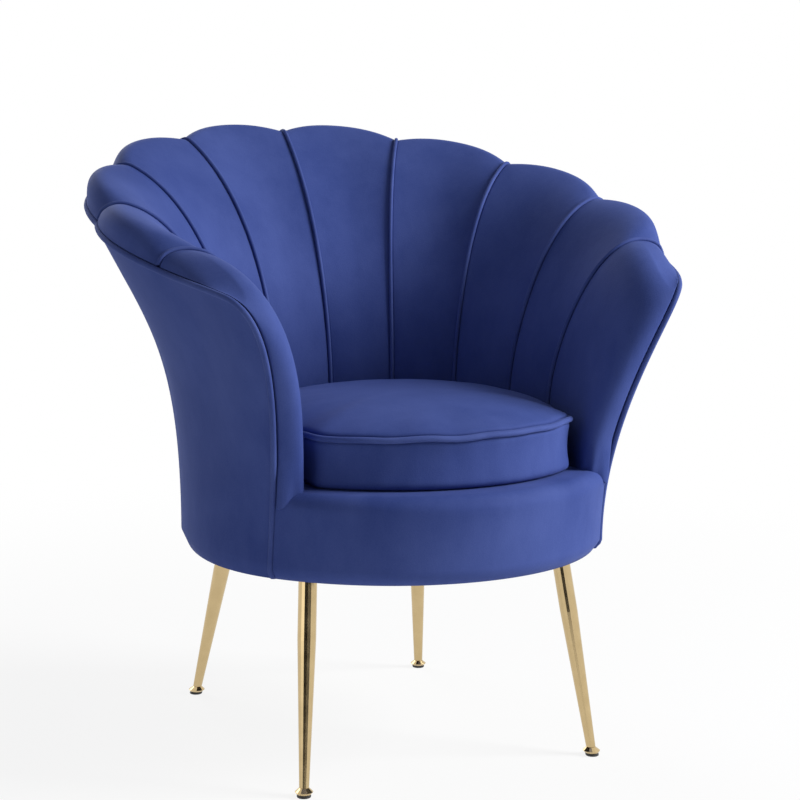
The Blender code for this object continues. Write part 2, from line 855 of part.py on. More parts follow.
def arm_inside():
    """Half the room between the arm fronts, where they are closest."""
    stages = np.linspace(arm_low_stage(1.0), 1.0, 5)
    shares = np.linspace(0.2, 0.9, 15)
    return min(arm_point(share, stage)[0] for stage in stages for share in shares)


def ring_at(outline, inset, height):
    middle = np.array((0.0, seat_centre_y * 2, 0.0))
    spokes = outline - middle
    lengths = np.linalg.norm(spokes, axis=1)[:, None]
    return middle + spokes * (1 - inset / lengths) + height * UP


def scaled_ring(outline, share, height):
    middle = np.array((0.0, seat_centre_y * 2, 0.0))
    return middle + (outline - middle) * share + height * UP


def cushion_outline():
    rear = seat_point(0, cushion_bottom)[1] - seat_centre_y - petal_bulge - cushion_side_gap
    half_width = arm_inside() - cushion_arm_gap
    front = apron_radius(apron_top) - cushion_front_gap
    return seat_outline(rear, half_width, front, cushion_corner_radius)


def cushion_welt_height():
    return cushion_bottom + cushion_height


def add_cushion(look, welt_look, parent):
    outline = cushion_outline()
    bottom = cushion_bottom
    seam = cushion_welt_height()
    groove = cushion_welt_radius + seam_gap
    rings = [scaled_ring(outline, cushion_flat_share, bottom), ring_at(outline, cushion_bottom_round, bottom),
             ring_at(outline, cushion_bottom_round / 4, bottom + cushion_bottom_round / 3),
             ring_at(outline, 0, bottom + cushion_bottom_round),
             ring_at(outline, cushion_draw_in, (bottom + seam) / 2),
             ring_at(outline, 0, seam - 3 * groove), ring_at(outline, 0, seam - groove),
             ring_at(outline, groove, seam - groove), ring_at(outline, groove, seam + groove),
             ring_at(outline, groove / 4, seam + groove)]
    for share in cushion_crown_shares:
        rise = 1 - share ** cushion_crown_power
        rings.append(scaled_ring(outline, share, seam + groove + cushion_crown * rise))
    origin = (0.0, seat_centre_y, bottom)
    add_object("seat_cushion", *loft(rings), look, origin=origin, parent=parent)
    path = ring_at(outline, 0, seam)
    tube = tube_sections(path, cushion_welt_radius, 6, closed=True, start_normal=UP)
    add_object("cushion_welt", *loft(tube, closed_rows=True), welt_look, origin=origin, parent=parent)


def add_deck(look):
    rear = seat_point(0, frame_top)[1] - seat_centre_y - petal_bulge - 2 * foam_gap
    front = apron_radius(apron_top) - apron_lip_width - foam_gap
    outline = seat_outline(rear, arm_inside() - foam_gap, front, cushion_corner_radius / 2)
    bottom = deck_bottom
    top = cushion_bottom - seam_gap
    rings = [ring_at(outline, 0, bottom), ring_at(outline, 0, top - base_bottom_round / 2),
             ring_at(outline, base_bottom_round / 2, top)]
    add_object("deck_pad", *loft(rings), look)


def add_dust_cover(look):
    low = base_height
    radius = frame_radius - dust_cover_margin
    rings = [circle_section(low * UP, radius, 36),
             circle_section((low + dust_cover_thickness) * UP, radius, 36)]
    return add_object("dust_cover", *loft(rings), look)


# Legs and glides


def leg_places():
    """Names, plate centres and slopes (side and along, per metre of height) of the four legs."""
    places = []
    for side_name, side in (("left", -1), ("right", 1)):
        for end_name, angle, slope_x, slope_y in (
                ("front", leg_front_angle, leg_front_side_share, leg_front_along_share),
                ("rear", leg_rear_angle, leg_rear_side_share, leg_rear_along_share)):
            top = leg_circle_radius * outward(angle) * np.array((side, 1.0, 1.0))
            places.append((end_name + "_" + side_name, top, np.array((side * slope_x, slope_y, 0.0))))
    return places


def leg_axis_point(top, slope, height):
    drop = base_height - height
    return top + slope * drop + height * UP


def add_leg(name, top, slope, look):
    sides = 18
    plate_top = base_height - seam_gap
    plate_bottom = plate_top - plate_thickness
    centre = leg_axis_point(top, slope, plate_top)
    flat = centre - plate_thickness * UP

    def ring(height, radius):
        return circle_section(leg_axis_point(top, slope, height), radius, sides)

    bore_top = leg_foot_height + leg_bore_depth
    rings = [circle_section(centre, plate_radius, sides), circle_section(flat, plate_radius, sides),
             ring(plate_bottom, leg_top_radius + plate_thickness / 4),
             ring(plate_bottom - plate_thickness / 4, leg_top_radius),
             ring(leg_taper_start, leg_top_radius),
             ring((leg_taper_start + leg_foot_height) / 2, (leg_top_radius + leg_foot_radius) / 2),
             ring(leg_foot_height, leg_foot_radius), ring(leg_foot_height, leg_bore_radius),
             ring(bore_top, leg_bore_radius)]
    return add_object("leg_" + name, *loft(rings), look, origin=tuple(centre), sharp=math.radians(30))


def screw_centres(top):
    angles = [math.pi / 3 + 2 * math.pi * number / 3 for number in range(3)]
    return [top + screw_circle_radius * outward(angle) for angle in angles]


def add_screw(name, centre, look):
    sides = 8
    low = base_height - plate_thickness - 2 * seam_gap - screw_head_height
    shoulder = low + screw_head_height
    rings = [circle_section(centre + low * UP, screw_head_radius, sides),
             circle_section(centre + shoulder * UP, screw_head_radius, sides),
             circle_section(centre + shoulder * UP, screw_shank_radius, sides),
             circle_section(centre + (base_height + screw_length) * UP, screw_shank_radius, sides)]
    add_object(name, *loft(rings), look)


def screw_hole_solids(centres):
    """Separate rods, one for each screw of a leg, that cut its clearance hole."""
    sides = 8
    radius = screw_shank_radius + seam_gap
    low = base_height - plate_thickness - screw_head_height
    high = base_height + screw_length + seam_gap
    vertices, faces = [], []
    for centre in centres:
        rings = [circle_section(centre + height * UP, radius, sides) for height in (low, high)]
        points, walls = loft(rings, start=len(vertices))
        vertices += points
        faces += walls
    return vertices, faces


def cut(target, cutter):
    hole = target.modifiers.new("screw_holes", "BOOLEAN")
    hole.operation = "DIFFERENCE"
    hole.solver = "EXACT"
    hole.object = cutter


def add_glide(name, top, slope, metal, dark):
    """Adjustable foot: a stem in the leg's bore, a bevelled disc and a soft pad under it."""
    foot = leg_axis_point(top, slope, 0)
    pivot = bpy.data.objects.new("glide_axis_" + name, None)
    pivot.location = foot
    bpy.context.scene.collection.objects.link(pivot)
    sides = 16
    disc = leg_axis_point(top, slope, glide_disc_height)
    seat = leg_axis_point(top, slope, pad_height + seam_gap)
    collar = leg_axis_point(top, slope, leg_foot_height - seam_gap)
    stem = leg_axis_point(top, slope, leg_foot_height + glide_stem_length)
    rings = [circle_section(seat, glide_seat_radius, sides), circle_section(disc, glide_disc_radius, sides),
             circle_section(disc + seam_gap * UP, glide_disc_radius, sides),
             circle_section(collar, glide_collar_radius, sides),
             circle_section(collar, glide_stem_radius, sides), circle_section(stem, glide_stem_radius, sides)]
    local = [np.asarray(ring) - foot for ring in rings]
    add_object("glide_" + name, *loft(local), metal, parent=pivot, sharp=math.radians(25))
    bottom = leg_axis_point(top, slope, 0)
    upper = leg_axis_point(top, slope, pad_height)
    rings = [circle_section(bottom, pad_radius - seam_gap * 2, sides),
             circle_section(bottom + 2 * seam_gap * UP, pad_radius, sides),
             circle_section(upper, pad_radius, sides)]
    local = [np.asarray(ring) - foot for ring in rings]
    add_object("glide_pad_" + name, *loft(local), dark, parent=pivot, sharp=math.radians(25))


def add_legs(metal, dark, steel, frame, dust_cover):
    for name, top, slope in leg_places():
        leg = add_leg(name, top, slope, metal)
        centres = screw_centres(top)
        cutter = add_object("screw_holes_" + name, *screw_hole_solids(centres), steel)
        cutter.hide_render = True
        cutter.display_type = "WIRE"
        for target in (leg, frame, dust_cover):
            cut(target, cutter)
        for number, centre in enumerate(centres):
            add_screw("leg_screw_%s_%d" % (name, number + 1), centre, steel)
        add_glide(name, top, slope, metal, dark)


def centre_on_origin():
    """Move everything so that the middle of the chair's depth is at the origin."""
    bpy.context.view_layer.update()
    depths = [(item.matrix_world @ vertex.co).y for item in bpy.data.objects if item.type == "MESH"
              for vertex in item.data.vertices]
    middle = (min(depths) + max(depths)) / 2
    for item in bpy.data.objects:
        if item.parent is None:
            item.location.y -= middle


def build():
    for old in list(bpy.data.objects):
        bpy.data.objects.remove(old, do_unlink=True)
    velvet = material("velvet", (0.030, 0.045, 0.185), 0.85, 0.0)
    piping = material("velvet_piping", (0.022, 0.034, 0.150), 0.85, 0.0)
    gold = material("gold_plate", (0.83, 0.66, 0.34), 0.22, 1.0)
    steel = material("zinc_screw", (0.62, 0.62, 0.60), 0.35, 1.0)
    dark = material("glide_pad", (0.020, 0.020, 0.022), 0.6, 0.0)
    plywood = material("plywood", (0.62, 0.46, 0.28), 0.6, 0.0)
    webbing = material("webbing", (0.10, 0.10, 0.10), 0.8, 0.0)
    lining = material("lining", (0.015, 0.020, 0.060), 0.9, 0.0)
    cushion_axis = bpy.data.objects.new("cushion_lift_axis", None)
    bpy.context.scene.collection.objects.link(cushion_axis)
    add_petals(velvet)
    add_channel_welts(piping)
    add_edge_welt(piping)
    add_outer_cover(velvet)
    add_back_shell(plywood)
    add_front_apron(velvet)
    frame = add_seat_frame(plywood)
    add_straps(webbing)
    add_deck(lining)
    add_cushion(velvet, piping, cushion_axis)
    dust_cover = add_dust_cover(lining)
    add_legs(gold, dark, steel, frame, dust_cover)
    centre_on_origin()


build()
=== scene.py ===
"""Shell armchair: velvet petals, welts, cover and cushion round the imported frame."""
import math
import json

import bmesh
import bpy
import numpy as np
from mathutils import Matrix, Vector


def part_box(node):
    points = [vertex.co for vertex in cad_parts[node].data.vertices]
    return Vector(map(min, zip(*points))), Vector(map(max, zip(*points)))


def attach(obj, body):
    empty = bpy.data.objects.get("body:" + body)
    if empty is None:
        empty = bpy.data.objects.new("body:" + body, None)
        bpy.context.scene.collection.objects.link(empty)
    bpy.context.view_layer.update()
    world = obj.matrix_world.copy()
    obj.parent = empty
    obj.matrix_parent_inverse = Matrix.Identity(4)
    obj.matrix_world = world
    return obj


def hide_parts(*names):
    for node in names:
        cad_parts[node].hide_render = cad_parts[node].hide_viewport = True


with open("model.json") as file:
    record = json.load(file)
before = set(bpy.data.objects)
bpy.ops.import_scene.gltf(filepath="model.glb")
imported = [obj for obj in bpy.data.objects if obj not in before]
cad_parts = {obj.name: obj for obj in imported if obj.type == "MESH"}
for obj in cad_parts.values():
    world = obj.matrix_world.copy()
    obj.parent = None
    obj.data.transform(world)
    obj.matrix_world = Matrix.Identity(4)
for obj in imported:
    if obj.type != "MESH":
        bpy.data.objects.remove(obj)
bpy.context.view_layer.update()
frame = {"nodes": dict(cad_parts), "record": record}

# Base
base_height = 0.2685
base_radius = 0.273
base_front_out = 0.021
base_bottom_round = 0.012
base_bottom_inset = 0.008
frame_height = 0.084
apron_height = 0.111
apron_lip_width = 0.058
apron_lip_round = 0.018

# Shell, inner side
seat_line_height = 0.461
seat_wall = 0.047
seat_set_forward = 0.0405
seat_lean_share = 0.075
crest_half_width = 0.3419
crest_half_depth = 0.3434
crest_set_back = 0.0141
crest_middle_height = 0.7091
rim_slope_share = 0.2788
back_low_reach = 0.097
back_high_reach = 0.155
back_flare = math.radians(51)
side_low_reach = 0.062
side_high_reach = 0.081
side_flare = math.radians(86)
flare_growth_share = 1.5
side_turn = math.radians(80)
turn_growth_share = 1.75

# Shell, rim and outer side
edge_reach = 0.039
edge_drop = 0.0276
edge_round = 0.0203
edge_turn_share = 0.9796
skin_low_reach = 0.264
skin_high_reach = 0.166
skin_flare = math.radians(26.4)
skin_thickness = 0.008
shell_board = 0.015
shell_board_end_share = 0.6
shell_board_end_gap = 0.006
shell_board_top_share = 0.86

# Petals
petals_per_side = 5
seat_petal_angle = math.radians(23.1)
crest_petal_angle = math.radians(28.1)
arm_crest_angle = math.radians(14.5)
base_petal_angle = math.radians(25.36)
petal_bulge = 0.008
petal_swell_power = 2.5
petal_edge_depth = 0.0118
crest_scallop_height = 0.0056
crest_scallop_reach = 0.0237
edge_scallop_height = 0.0027
edge_scallop_reach = 0.0091

# Arm fronts
arm_corner_side = 0.3143
arm_corner_forward = 0.2281
arm_corner_drop = 0.0843
arm_corner_way_shares = (-0.485, -0.837, -0.253)
arm_edge_low_reach = 0.180
arm_edge_high_reach = 0.0886
arm_rim_reach = 0.047
arm_lean_side_share = -0.044
front_blend_start_share = 0.6
arm_side_reach = 0.11
arm_side_way_shares = (-0.15, -1.0, 0.0)
arm_nose_reach = 0.070
arm_nose_way_shares = (-1.0, -0.35, 0.0)
arm_top_leave_shares = (-0.45, -0.1, 0.9)
arm_hem_way_shares = (-1.0, 0.6, 0.0)

# Welts and seat cushion
channel_welt_radius = 0.00275
edge_welt_radius = 0.00375
cushion_welt_radius = 0.0040
cushion_height = 0.0648
cushion_crown = 0.030
cushion_front_gap = 0.042
cushion_side_gap = 0.004
cushion_arm_gap = 0.014
cushion_draw_in = 0.003
strap_thickness = 0.0020
dust_cover_thickness = 0.0012
dust_cover_margin = 0.005

# Gaps between pieces that touch
seam_gap = 0.0003
foam_gap = 0.0006
rim_gap = 0.0018
frame_gap = 0.001

# Round places on the sections
petal_column_shares = (0.10, 0.27, 0.5, 0.73, 0.90)
petal_row_stages = (0.0, 0.55, 1.0, 1.2, 1.4, 1.58, 1.75, 1.88, 2.0, 2.2, 2.45, 2.7)
board_row_shares = (0.0, 0.2, 0.36, 0.49, 0.61, 0.72, 0.82, 0.91, 1.0)
arm_front_stage_shares = (0.0, 1.0, 2.0, 3.0)
arm_top_share = 0.90
board_top_gap_share = 0.012
rim_row_share = 0.05
rim_stage = 2.9
arm_edge_points = 16
arm_inside_stages = 5
arm_inside_shares = (0.2, 0.9, 15)
rear_arc_steps = 9
corner_steps = 4
front_arc_steps = 5
height_rounds = 40
clear_rounds = 20
corner_keep = 0.12
edge_keep = (0.02, 0.97)

# Soft pieces
petal_columns = 18
petal_rear_columns = 7
seat_row_steps = 13
back_row_steps = 39
rim_row_steps = 19
tight_column_share = 0.35
column_margin = 0.05
arm_column_margin = 0.03
over_board_shares = (0.88, 0.75)
inside_board_shares = (0.5, 0.25)
pinned_rows = 4
petal_pin_fall = 2.2
nose_pin_fall = 6
hem_tuck = 0.002
hem_tight_stage = 0.012
hem_stages = 0.35
hem_inward_place = (0.1, 0.5)
pucker_count = 6
pucker_rise = 3
pucker_fall = 10
pucker_depth = 0.0012
welt_clear = 0.0003
welt_lift = 0.0014
welt_settle_stage = 2.6
welt_settle_stages = 0.3
welt_rows = 90
arm_welt_low_share = 0.04
arm_welt_low_rows = 6
arm_welt_rows = 62
rim_welt_steps = 20
tube_sides = 12
steep_way = 0.9
cover_rows = 44
cover_columns = 93
cover_end_columns = 8
cover_end_reaches = (0.4, 0.38, 0.12)
cover_clear_share = 0.6
cover_thin_rows = 10
cover_thin_share = 0.6
apron_swell = 0.0015
apron_rows = 16
apron_lip_rows = 10
apron_columns = 90
outline_points = 240
cushion_bottom_shares = (0.08, 0.94, 9)
cushion_round_rings = 5
cushion_side_rings = 8
round_pin = 0.9
side_pin = 0.6
outline_rounds = 3
seam_wave = 0.0006
seam_waves = ((11, 1), (17, 0))
soft_corner_radius = 0.018
soft_bottom_round = 0.008
side_seam_share = 1.4
groove_share = 1.2
groove_half_share = 0.4
cushion_lean = 0.0025
cushion_swell = 0.005
crown_rings = 24
crown_start_step = 0.35
crown_first_pin = 0.85
crown_pin = 0.5
crown_pin_fall = 0.12
crown_power = 4.0
crown_fit_share = 0.25
crown_even_share = 0.9
crown_even_reach = 0.3
crown_uneven_share = 0.6
deck_points = 160
deck_bottom_shares = (0.1, 0.9, 6)
deck_round_rings = 6
deck_top_shares = (0.9, 0.1, 8)
deck_corner = 0.004
deck_edge_round = 0.0015
deck_reach = 0.012
lining_rings = 18
lining_sides = 96
skin_sharp = math.radians(60)
lining_sharp = math.radians(50)

# Cloth
cloth_frames = 20
least_travel = 1e-9
cloth_stiffness = {"quality": 5, "mass": 0.2, "tension_stiffness": 25.0,
                   "compression_stiffness": 25.0, "shear_stiffness": 8.0,
                   "bending_stiffness": 0.6}
petal_cloth = {"cap": 0.005, "rounds": 4, "pressure": 3.0, "looseness": 0.01}
cushion_cloth = {"cap": cushion_swell, "rounds": 30, "pressure": 2.5, "looseness": 0.004}

# Studio
floor_reach = 20.0
floor_sides = 64
floor_glow_share = 0.86
floor_glow = 1.0
floor_shadow_reach = (0.5, 1.9)
white = (1.0, 1.0, 1.0, 1.0)
floor_white = (0.93, 0.93, 0.93, 1.0)
world_strength = 0.13
lamps = (("key", (2.45, -1.45, 2.0), (1.2, 1.5), 118.0),
         ("fill", (-2.6, -1.2, 1.2), (2.0, 2.0), 8.0),
         ("rear", (-0.6, 2.6, 1.8), (2.0, 1.6), 30.0))
lamp_aim = Vector((0.0, 0.0, 0.45))
card_distance = 3.4
card_half_width = 1.75
card_middle = 1.2
card_half_height = 2.4

# Camera, solved from the feet, the rim and the seams
camera_turn = 0.44225665
camera_dip = 0.14368501
camera_roll = 0.0110452
camera_distance = 2.77065104
camera_aim_across = 0.0491762
camera_aim_up = 0.0471611
camera_aim_height = 0.4
camera_aim_forward = 0.067
camera_sensor = 36.0
camera_focal = 2007.5566 / 800 * camera_sensor

# Values that follow from these
UP = np.array((0.0, 0.0, 1.0))
slope_step = 0.01
arm_seam = petals_per_side - 1
frame_top = base_height + frame_height
deck_bottom = frame_top + 2 * strap_thickness + 3 * seam_gap
apron_top = base_height + apron_height
arm_corner_height = crest_middle_height - arm_corner_drop
rim_centre_y = crest_set_back
seat_centre_y = -seat_set_forward
outline_middle = np.array((0.0, 2 * seat_centre_y, 0.0))
cushion_bottom = apron_top + 2 * seam_gap + foam_gap
cushion_welt_height = cushion_bottom + cushion_height
skin_inside = skin_thickness + foam_gap
board_inside = skin_inside + shell_board
frame_radius = base_radius - skin_thickness - frame_gap
base_front_radius = base_radius + base_front_out
seat_radius = base_radius - seat_wall

# The source's plan is centred on the seat frame, so its place in the row comes from that node.
frame_low, frame_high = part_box("seat_frame")
shift = np.array((0.0, (frame_low[1] + frame_high[1]) / 2, 0.0))


def unit(vector):
    return vector / np.linalg.norm(vector)


def outward(angle):
    """Level direction at an angle from the back, turning towards +X."""
    return np.array((math.sin(angle), math.cos(angle), 0.0))


def bezier(start, start_arm, end_arm, end, share):
    rest = 1 - share
    return (rest ** 3 * start + 3 * rest ** 2 * share * start_arm
            + 3 * rest * share ** 2 * end_arm + share ** 3 * end)


def smooth(share):
    share = min(max(share, 0.0), 1.0)
    return share * share * (3 - 2 * share)


def mirrored(points):
    return np.asarray(points) * np.array((-1.0, 1.0, 1.0))


def crest_angle(station):
    return (min(station, arm_seam) * crest_petal_angle
            + max(station - arm_seam, 0) * arm_crest_angle)


def scallop(station):
    """Height share of the scallop between two seams; the arm petal has none."""
    if station >= arm_seam:
        return 0.0
    part = station - math.floor(station)
    return 4 * part * (1 - part)


def rim_point(angle, reach, drop):
    wide = crest_half_width + reach
    deep = crest_half_depth + reach
    level = crest_middle_height + rim_slope_share * crest_half_depth * math.cos(angle)
    return np.array((wide * math.sin(angle), rim_centre_y + deep * math.cos(angle), level - drop))


def crest_point(station):
    """Top of the inner face, with its scallop between two seams."""
    angle = crest_angle(station)
    bump = crest_scallop_height * UP + crest_scallop_reach * outward(angle)
    return rim_point(angle, 0, 0) + scallop(station) * bump


def edge_point(station):
    """Edge welt: along the rim, then over the arm petal to the top corner of the arm's front."""
    if station < 0:
        return mirrored(edge_point(-station))
    if station <= arm_seam:
        angle = edge_turn_share * crest_angle(station)
        bump = edge_scallop_height * UP + edge_scallop_reach * outward(angle)
        return rim_point(angle, edge_reach, edge_drop) + scallop(station) * bump
    step = math.radians(1)
    angle = edge_turn_share * crest_angle(arm_seam)
    start = rim_point(angle, edge_reach, edge_drop)
    start_way = unit(rim_point(angle + step, edge_reach, edge_drop) - start)
    end = np.array((arm_corner_side, -arm_corner_forward, arm_corner_height))
    end_way = unit(np.array(arm_corner_way_shares))
    leave = start + arm_rim_reach * start_way
    arrive = end - arm_rim_reach * end_way
    return bezier(start, leave, arrive, end, station - arm_seam)


def seat_point(station, height):
    radius = seat_radius - seat_lean_share * (seat_line_height - height)
    centre = np.array((0.0, seat_centre_y, height))
    return centre + radius * outward(seat_petal_angle * station)


def inner_point(station, stage):
    """Padded inner face: stage 0 deck, 1 seat line, 2 crest, 3 outer edge."""
    if station < 0:
        return mirrored(inner_point(-station, stage))
    if stage <= 1:
        return seat_point(station, deck_bottom + stage * (seat_line_height - deck_bottom))
    side = min(station / arm_seam, 1.0)
    flare_angle = back_flare + (side_flare - back_flare) * side ** flare_growth_share
    heading = outward(side_turn * (1 - (1 - side) ** turn_growth_share))
    flare = math.sin(flare_angle) * heading + math.cos(flare_angle) * UP
    crest = crest_point(station)
    if stage <= 2:
        low = seat_point(station, seat_line_height)
        rise = unit(seat_lean_share * outward(seat_petal_angle * station) + UP)
        low_reach = back_low_reach + (side_low_reach - back_low_reach) * side
        high_reach = back_high_reach + (side_high_reach - back_high_reach) * side
        return bezier(low, low + low_reach * rise, crest - high_reach * flare, crest, stage - 1)
    edge = edge_point(station)
    return bezier(crest, crest + edge_round * flare, edge + edge_round * UP, edge, stage - 2)


def front_share(station):
    """How far the skin has turned from the shape of the back to that of the arm's front edge."""
    start = petals_per_side * front_blend_start_share
    return smooth((station - start) / (petals_per_side - start))


def outer_point(station, share):
    """Outer skin from the base (0) to the edge welt (1), before its bottom corner is rounded."""
    if station < 0:
        return mirrored(outer_point(-station, share))
    front = front_share(station)
    heading = outward(base_petal_angle * station)
    radius = (1 - front) * base_radius + front * base_front_radius
    low = radius * heading + base_height * UP
    high = edge_point(station)
    rim_heading = outward(crest_angle(station))
    skin_way = math.sin(skin_flare) * rim_heading + math.cos(skin_flare) * UP
    way = unit((1 - front) * skin_way - front * np.array(arm_corner_way_shares))
    low_reach = (1 - front) * skin_low_reach + front * arm_edge_low_reach
    high_reach = (1 - front) * skin_high_reach + front * arm_edge_high_reach
    lean = np.array((arm_lean_side_share, 0.0, 0.0))
    low_arm = low + low_reach * (UP + front * lean)
    return bezier(low, low_arm, high - high_reach * way, high, share)


def skin_normal(station, share):
    """Outward normal of the skin, read a little away from the arm's top corner."""
    station = min(station, petals_per_side - corner_keep)
    share = min(max(share, edge_keep[0]), edge_keep[1])
    along = outer_point(station + slope_step, share) - outer_point(station - slope_step, share)
    rise = outer_point(station, share + slope_step) - outer_point(station, share - slope_step)
    return unit(np.cross(rise, along))


def skin_point(station, share, depth):
    """A point below the outer skin."""
    return outer_point(station, share) - depth * skin_normal(station, share)


def share_at_height(station, height):
    low, high = 0.0, 1.0
    for _ in range(height_rounds):
        middle = (low + high) / 2
        if outer_point(station, middle)[2] < height:
            low = middle
        else:
            high = middle
    return low


def board_share(station, row_share, base=frame_top + seam_gap):
    start = share_at_height(station, base)
    return start + (shell_board_top_share - start) * row_share


def arm_edge_share(stage):
    """Place on the arm's front edge that faces a stage of the inner face."""
    marks = (share_at_height(petals_per_side, apron_top + seam_gap),
             share_at_height(petals_per_side, seat_line_height), arm_top_share, 1.0)
    return float(np.interp(stage, arm_front_stage_shares, marks))


def end_stage(station, clearance):
    """Stage at which the inner face has come down to a clearance from the edge welt's middle."""
    way = unit(edge_point(station + slope_step) - edge_point(station - slope_step))
    return 3 - clearance / math.hypot(way[0], way[1]) / (3 * edge_round)


def padded_point(station, stage):
    """Inner face with the swell of a petal between its seams."""
    part = station - math.floor(station)
    amount = 1 - abs(2 * part - 1) ** petal_swell_power
    fade = 1.0 if stage <= 2 else 1 - smooth(stage - 2)
    along = (inner_point(station + slope_step, stage)
             - inner_point(station - slope_step, stage))
    if stage <= 1:
        rise = UP
    else:
        rise = (inner_point(station, min(stage + slope_step, 3))
                - inner_point(station, stage - slope_step))
    normal = unit(np.cross(along, rise))
    return inner_point(station, stage) + petal_bulge * amount * fade * normal


def petal_back(station, row, over_board=False):
    """Back of a petal against the shell board, over its top edge and up inside the outer cover."""
    last = len(board_row_shares) - 1
    over = over_board or row > last + 1
    depth = skin_inside + rim_gap if over else board_inside + foam_gap
    if row == 0:
        share = share_at_height(station, deck_bottom)
    elif row <= last:
        share = board_share(station, board_row_shares[row])
    else:
        share = shell_board_top_share + board_top_gap_share + max(row - last - 2, 0) * rim_row_share
    return skin_point(station, share, depth)


def petal_rim(station, inset):
    """Point just above the edge welt, or a little inwards from there."""
    last = min(station + slope_step, petals_per_side)
    way = unit(edge_point(last) - edge_point(last - 2 * slope_step))
    inward = unit(np.cross(way, UP) * np.array((1.0, 1.0, 0.0)))
    turn = max(station - arm_seam, 0.0)
    lift = unit((1 - turn) * UP + turn * unit(np.array(arm_top_leave_shares)))
    lift = unit(lift - way * float(lift @ way))
    return edge_point(station) + (edge_welt_radius + foam_gap) * lift + inset * inward


def arm_point(share, stage):
    """Arm-front petal, from the last seam (0) round the nose to the arm's front edge (1)."""
    seam_side = inner_point(arm_seam, stage)
    edge = outer_point(petals_per_side, arm_edge_share(stage))
    top = smooth((stage - 1) / 2)
    rim_along = (inner_point(arm_seam + slope_step, stage) - seam_side) / slope_step / 3
    rim_back = edge_point(petals_per_side - slope_step) - edge_point(petals_per_side)
    rim_back = rim_back / slope_step / 3
    nose_way = unit(np.array(arm_nose_way_shares))
    leave = unit((1 - top) * nose_way + top * unit(np.array(arm_top_leave_shares)))
    start_way = unit(np.array(arm_side_way_shares))
    start_arm = (1 - top) * arm_side_reach * start_way + top * rim_along
    end_arm = (1 - top) * arm_nose_reach * nose_way + top * rim_back
    edge_side = edge + (edge_welt_radius + foam_gap) * leave
    return bezier(seam_side, seam_side + start_arm, edge_side + end_arm, edge_side, share)


def arm_low_stage(share):
    """The arm petal's bottom lies on the deck at the seam and on the front apron at the nose."""
    nose = (apron_top + seam_gap - deck_bottom) / (seat_line_height - deck_bottom)
    return nose * smooth(2 * share)


def side_welt_path():
    """Edge welt from just past the middle of the rim, over it and down an arm's front."""
    rounding = share_at_height(petals_per_side, base_height + base_bottom_round)
    shares = (0.0, *np.linspace(rounding, 1.0, arm_edge_points)[:-1])
    arm = [outer_point(petals_per_side, share) for share in shares]
    seam_shares = (0.0,) + petal_column_shares
    rim_stations = [seam + share for seam in range(petals_per_side) for share in seam_shares]
    stations = [petals_per_side] + rim_stations[:0:-1]
    half = arm + [edge_point(station) for station in stations]
    return np.array([mirrored(half[-1]), edge_point(0.0), *half[::-1]])


def largest_clear(place, path, clearance):
    """Largest share (0 to 1) at which a moving place keeps a clearance from a path."""
    start, way = path[:-1], np.diff(path, axis=0)
    low, high = 0.0, 1.0
    for _ in range(clear_rounds):
        middle = (low + high) / 2
        offset = place(middle) - start
        along = np.clip((offset * way).sum(1) / (way * way).sum(1), 0, 1)
        gap = np.linalg.norm(offset - along[:, None] * way, axis=1).min()
        if gap < clearance:
            high = middle
        else:
            low = middle
    return low


def apron_end(height):
    """Radius and angle at which the apron would meet the arm's front edge."""
    edge = outer_point(petals_per_side, share_at_height(petals_per_side, height))
    return math.hypot(edge[0], edge[1]), math.atan2(edge[0], edge[1])


def apron_radius(height):
    return apron_end(height)[0]


def apron_end_angle(height):
    """Angle at which the apron ends, clear of the edge welt."""
    radius, angle = apron_end(height)
    return angle + (edge_welt_radius + seam_gap) / radius


def arc(centre, radius, first, last, steps):
    """Points along a level arc."""
    return [centre + radius * outward(first + (last - first) * step / steps)
            for step in range(steps + 1)]


def seat_outline(rear_radius, half_width, front_radius, corner_radius):
    """D plan of the seat: a rear arc, straight sides between the arm fronts and a bowed front."""
    turn = math.pi - math.asin(half_width / rear_radius)
    middle = np.array((0.0, seat_centre_y, 0.0))
    points = arc(middle, rear_radius, 0.0, turn, rear_arc_steps)
    across = half_width - corner_radius
    corner_y = -math.sqrt((front_radius - corner_radius) ** 2 - across ** 2)
    corner = np.array((across, corner_y, 0.0))
    last = math.atan2(across, corner_y)
    points += arc(corner, corner_radius, math.pi / 2, last, corner_steps)
    points += arc(0.0, front_radius, last, math.pi, front_arc_steps)[1:]
    left = [mirrored(point) for point in points[-2:0:-1]]
    return np.asarray(points + left)


def arm_inside():
    """Half the room between the arm fronts, where they are closest."""
    stages = np.linspace(arm_low_stage(1.0), 1.0, arm_inside_stages)
    shares = np.linspace(*arm_inside_shares)
    return min(arm_point(share, stage)[0] for stage in stages for share in shares)


def ring_at(outline, inset, height):
    """The outline at a height, drawn in by an even width."""
    spokes = outline - outline_middle
    lengths = np.linalg.norm(spokes, axis=1)[:, None]
    return outline_middle + spokes * (1 - inset / lengths) + height * UP


def scaled_ring(outline, share, height):
    return outline_middle + (outline - outline_middle) * share + height * UP


# Visual pieces


def new_object(name, data):
    made = bpy.data.objects.new(name, data)
    bpy.context.scene.collection.objects.link(made)
    return made


def shade_object(name, vertices, faces, look, slot, sharp=None):
    """New smooth mesh piece in the row's frame."""
    mesh = bpy.data.meshes.new(name)
    mesh.from_pydata((np.asarray(vertices, dtype=float) + shift).tolist(), [], faces)
    work = bmesh.new()
    work.from_mesh(mesh)
    bmesh.ops.recalc_face_normals(work, faces=work.faces)
    work.to_mesh(mesh)
    work.free()
    mesh.shade_smooth()
    if sharp is not None:
        mesh.set_sharp_from_angle(angle=sharp)
    mesh.materials.append(look)
    made = new_object(name, mesh)
    return made


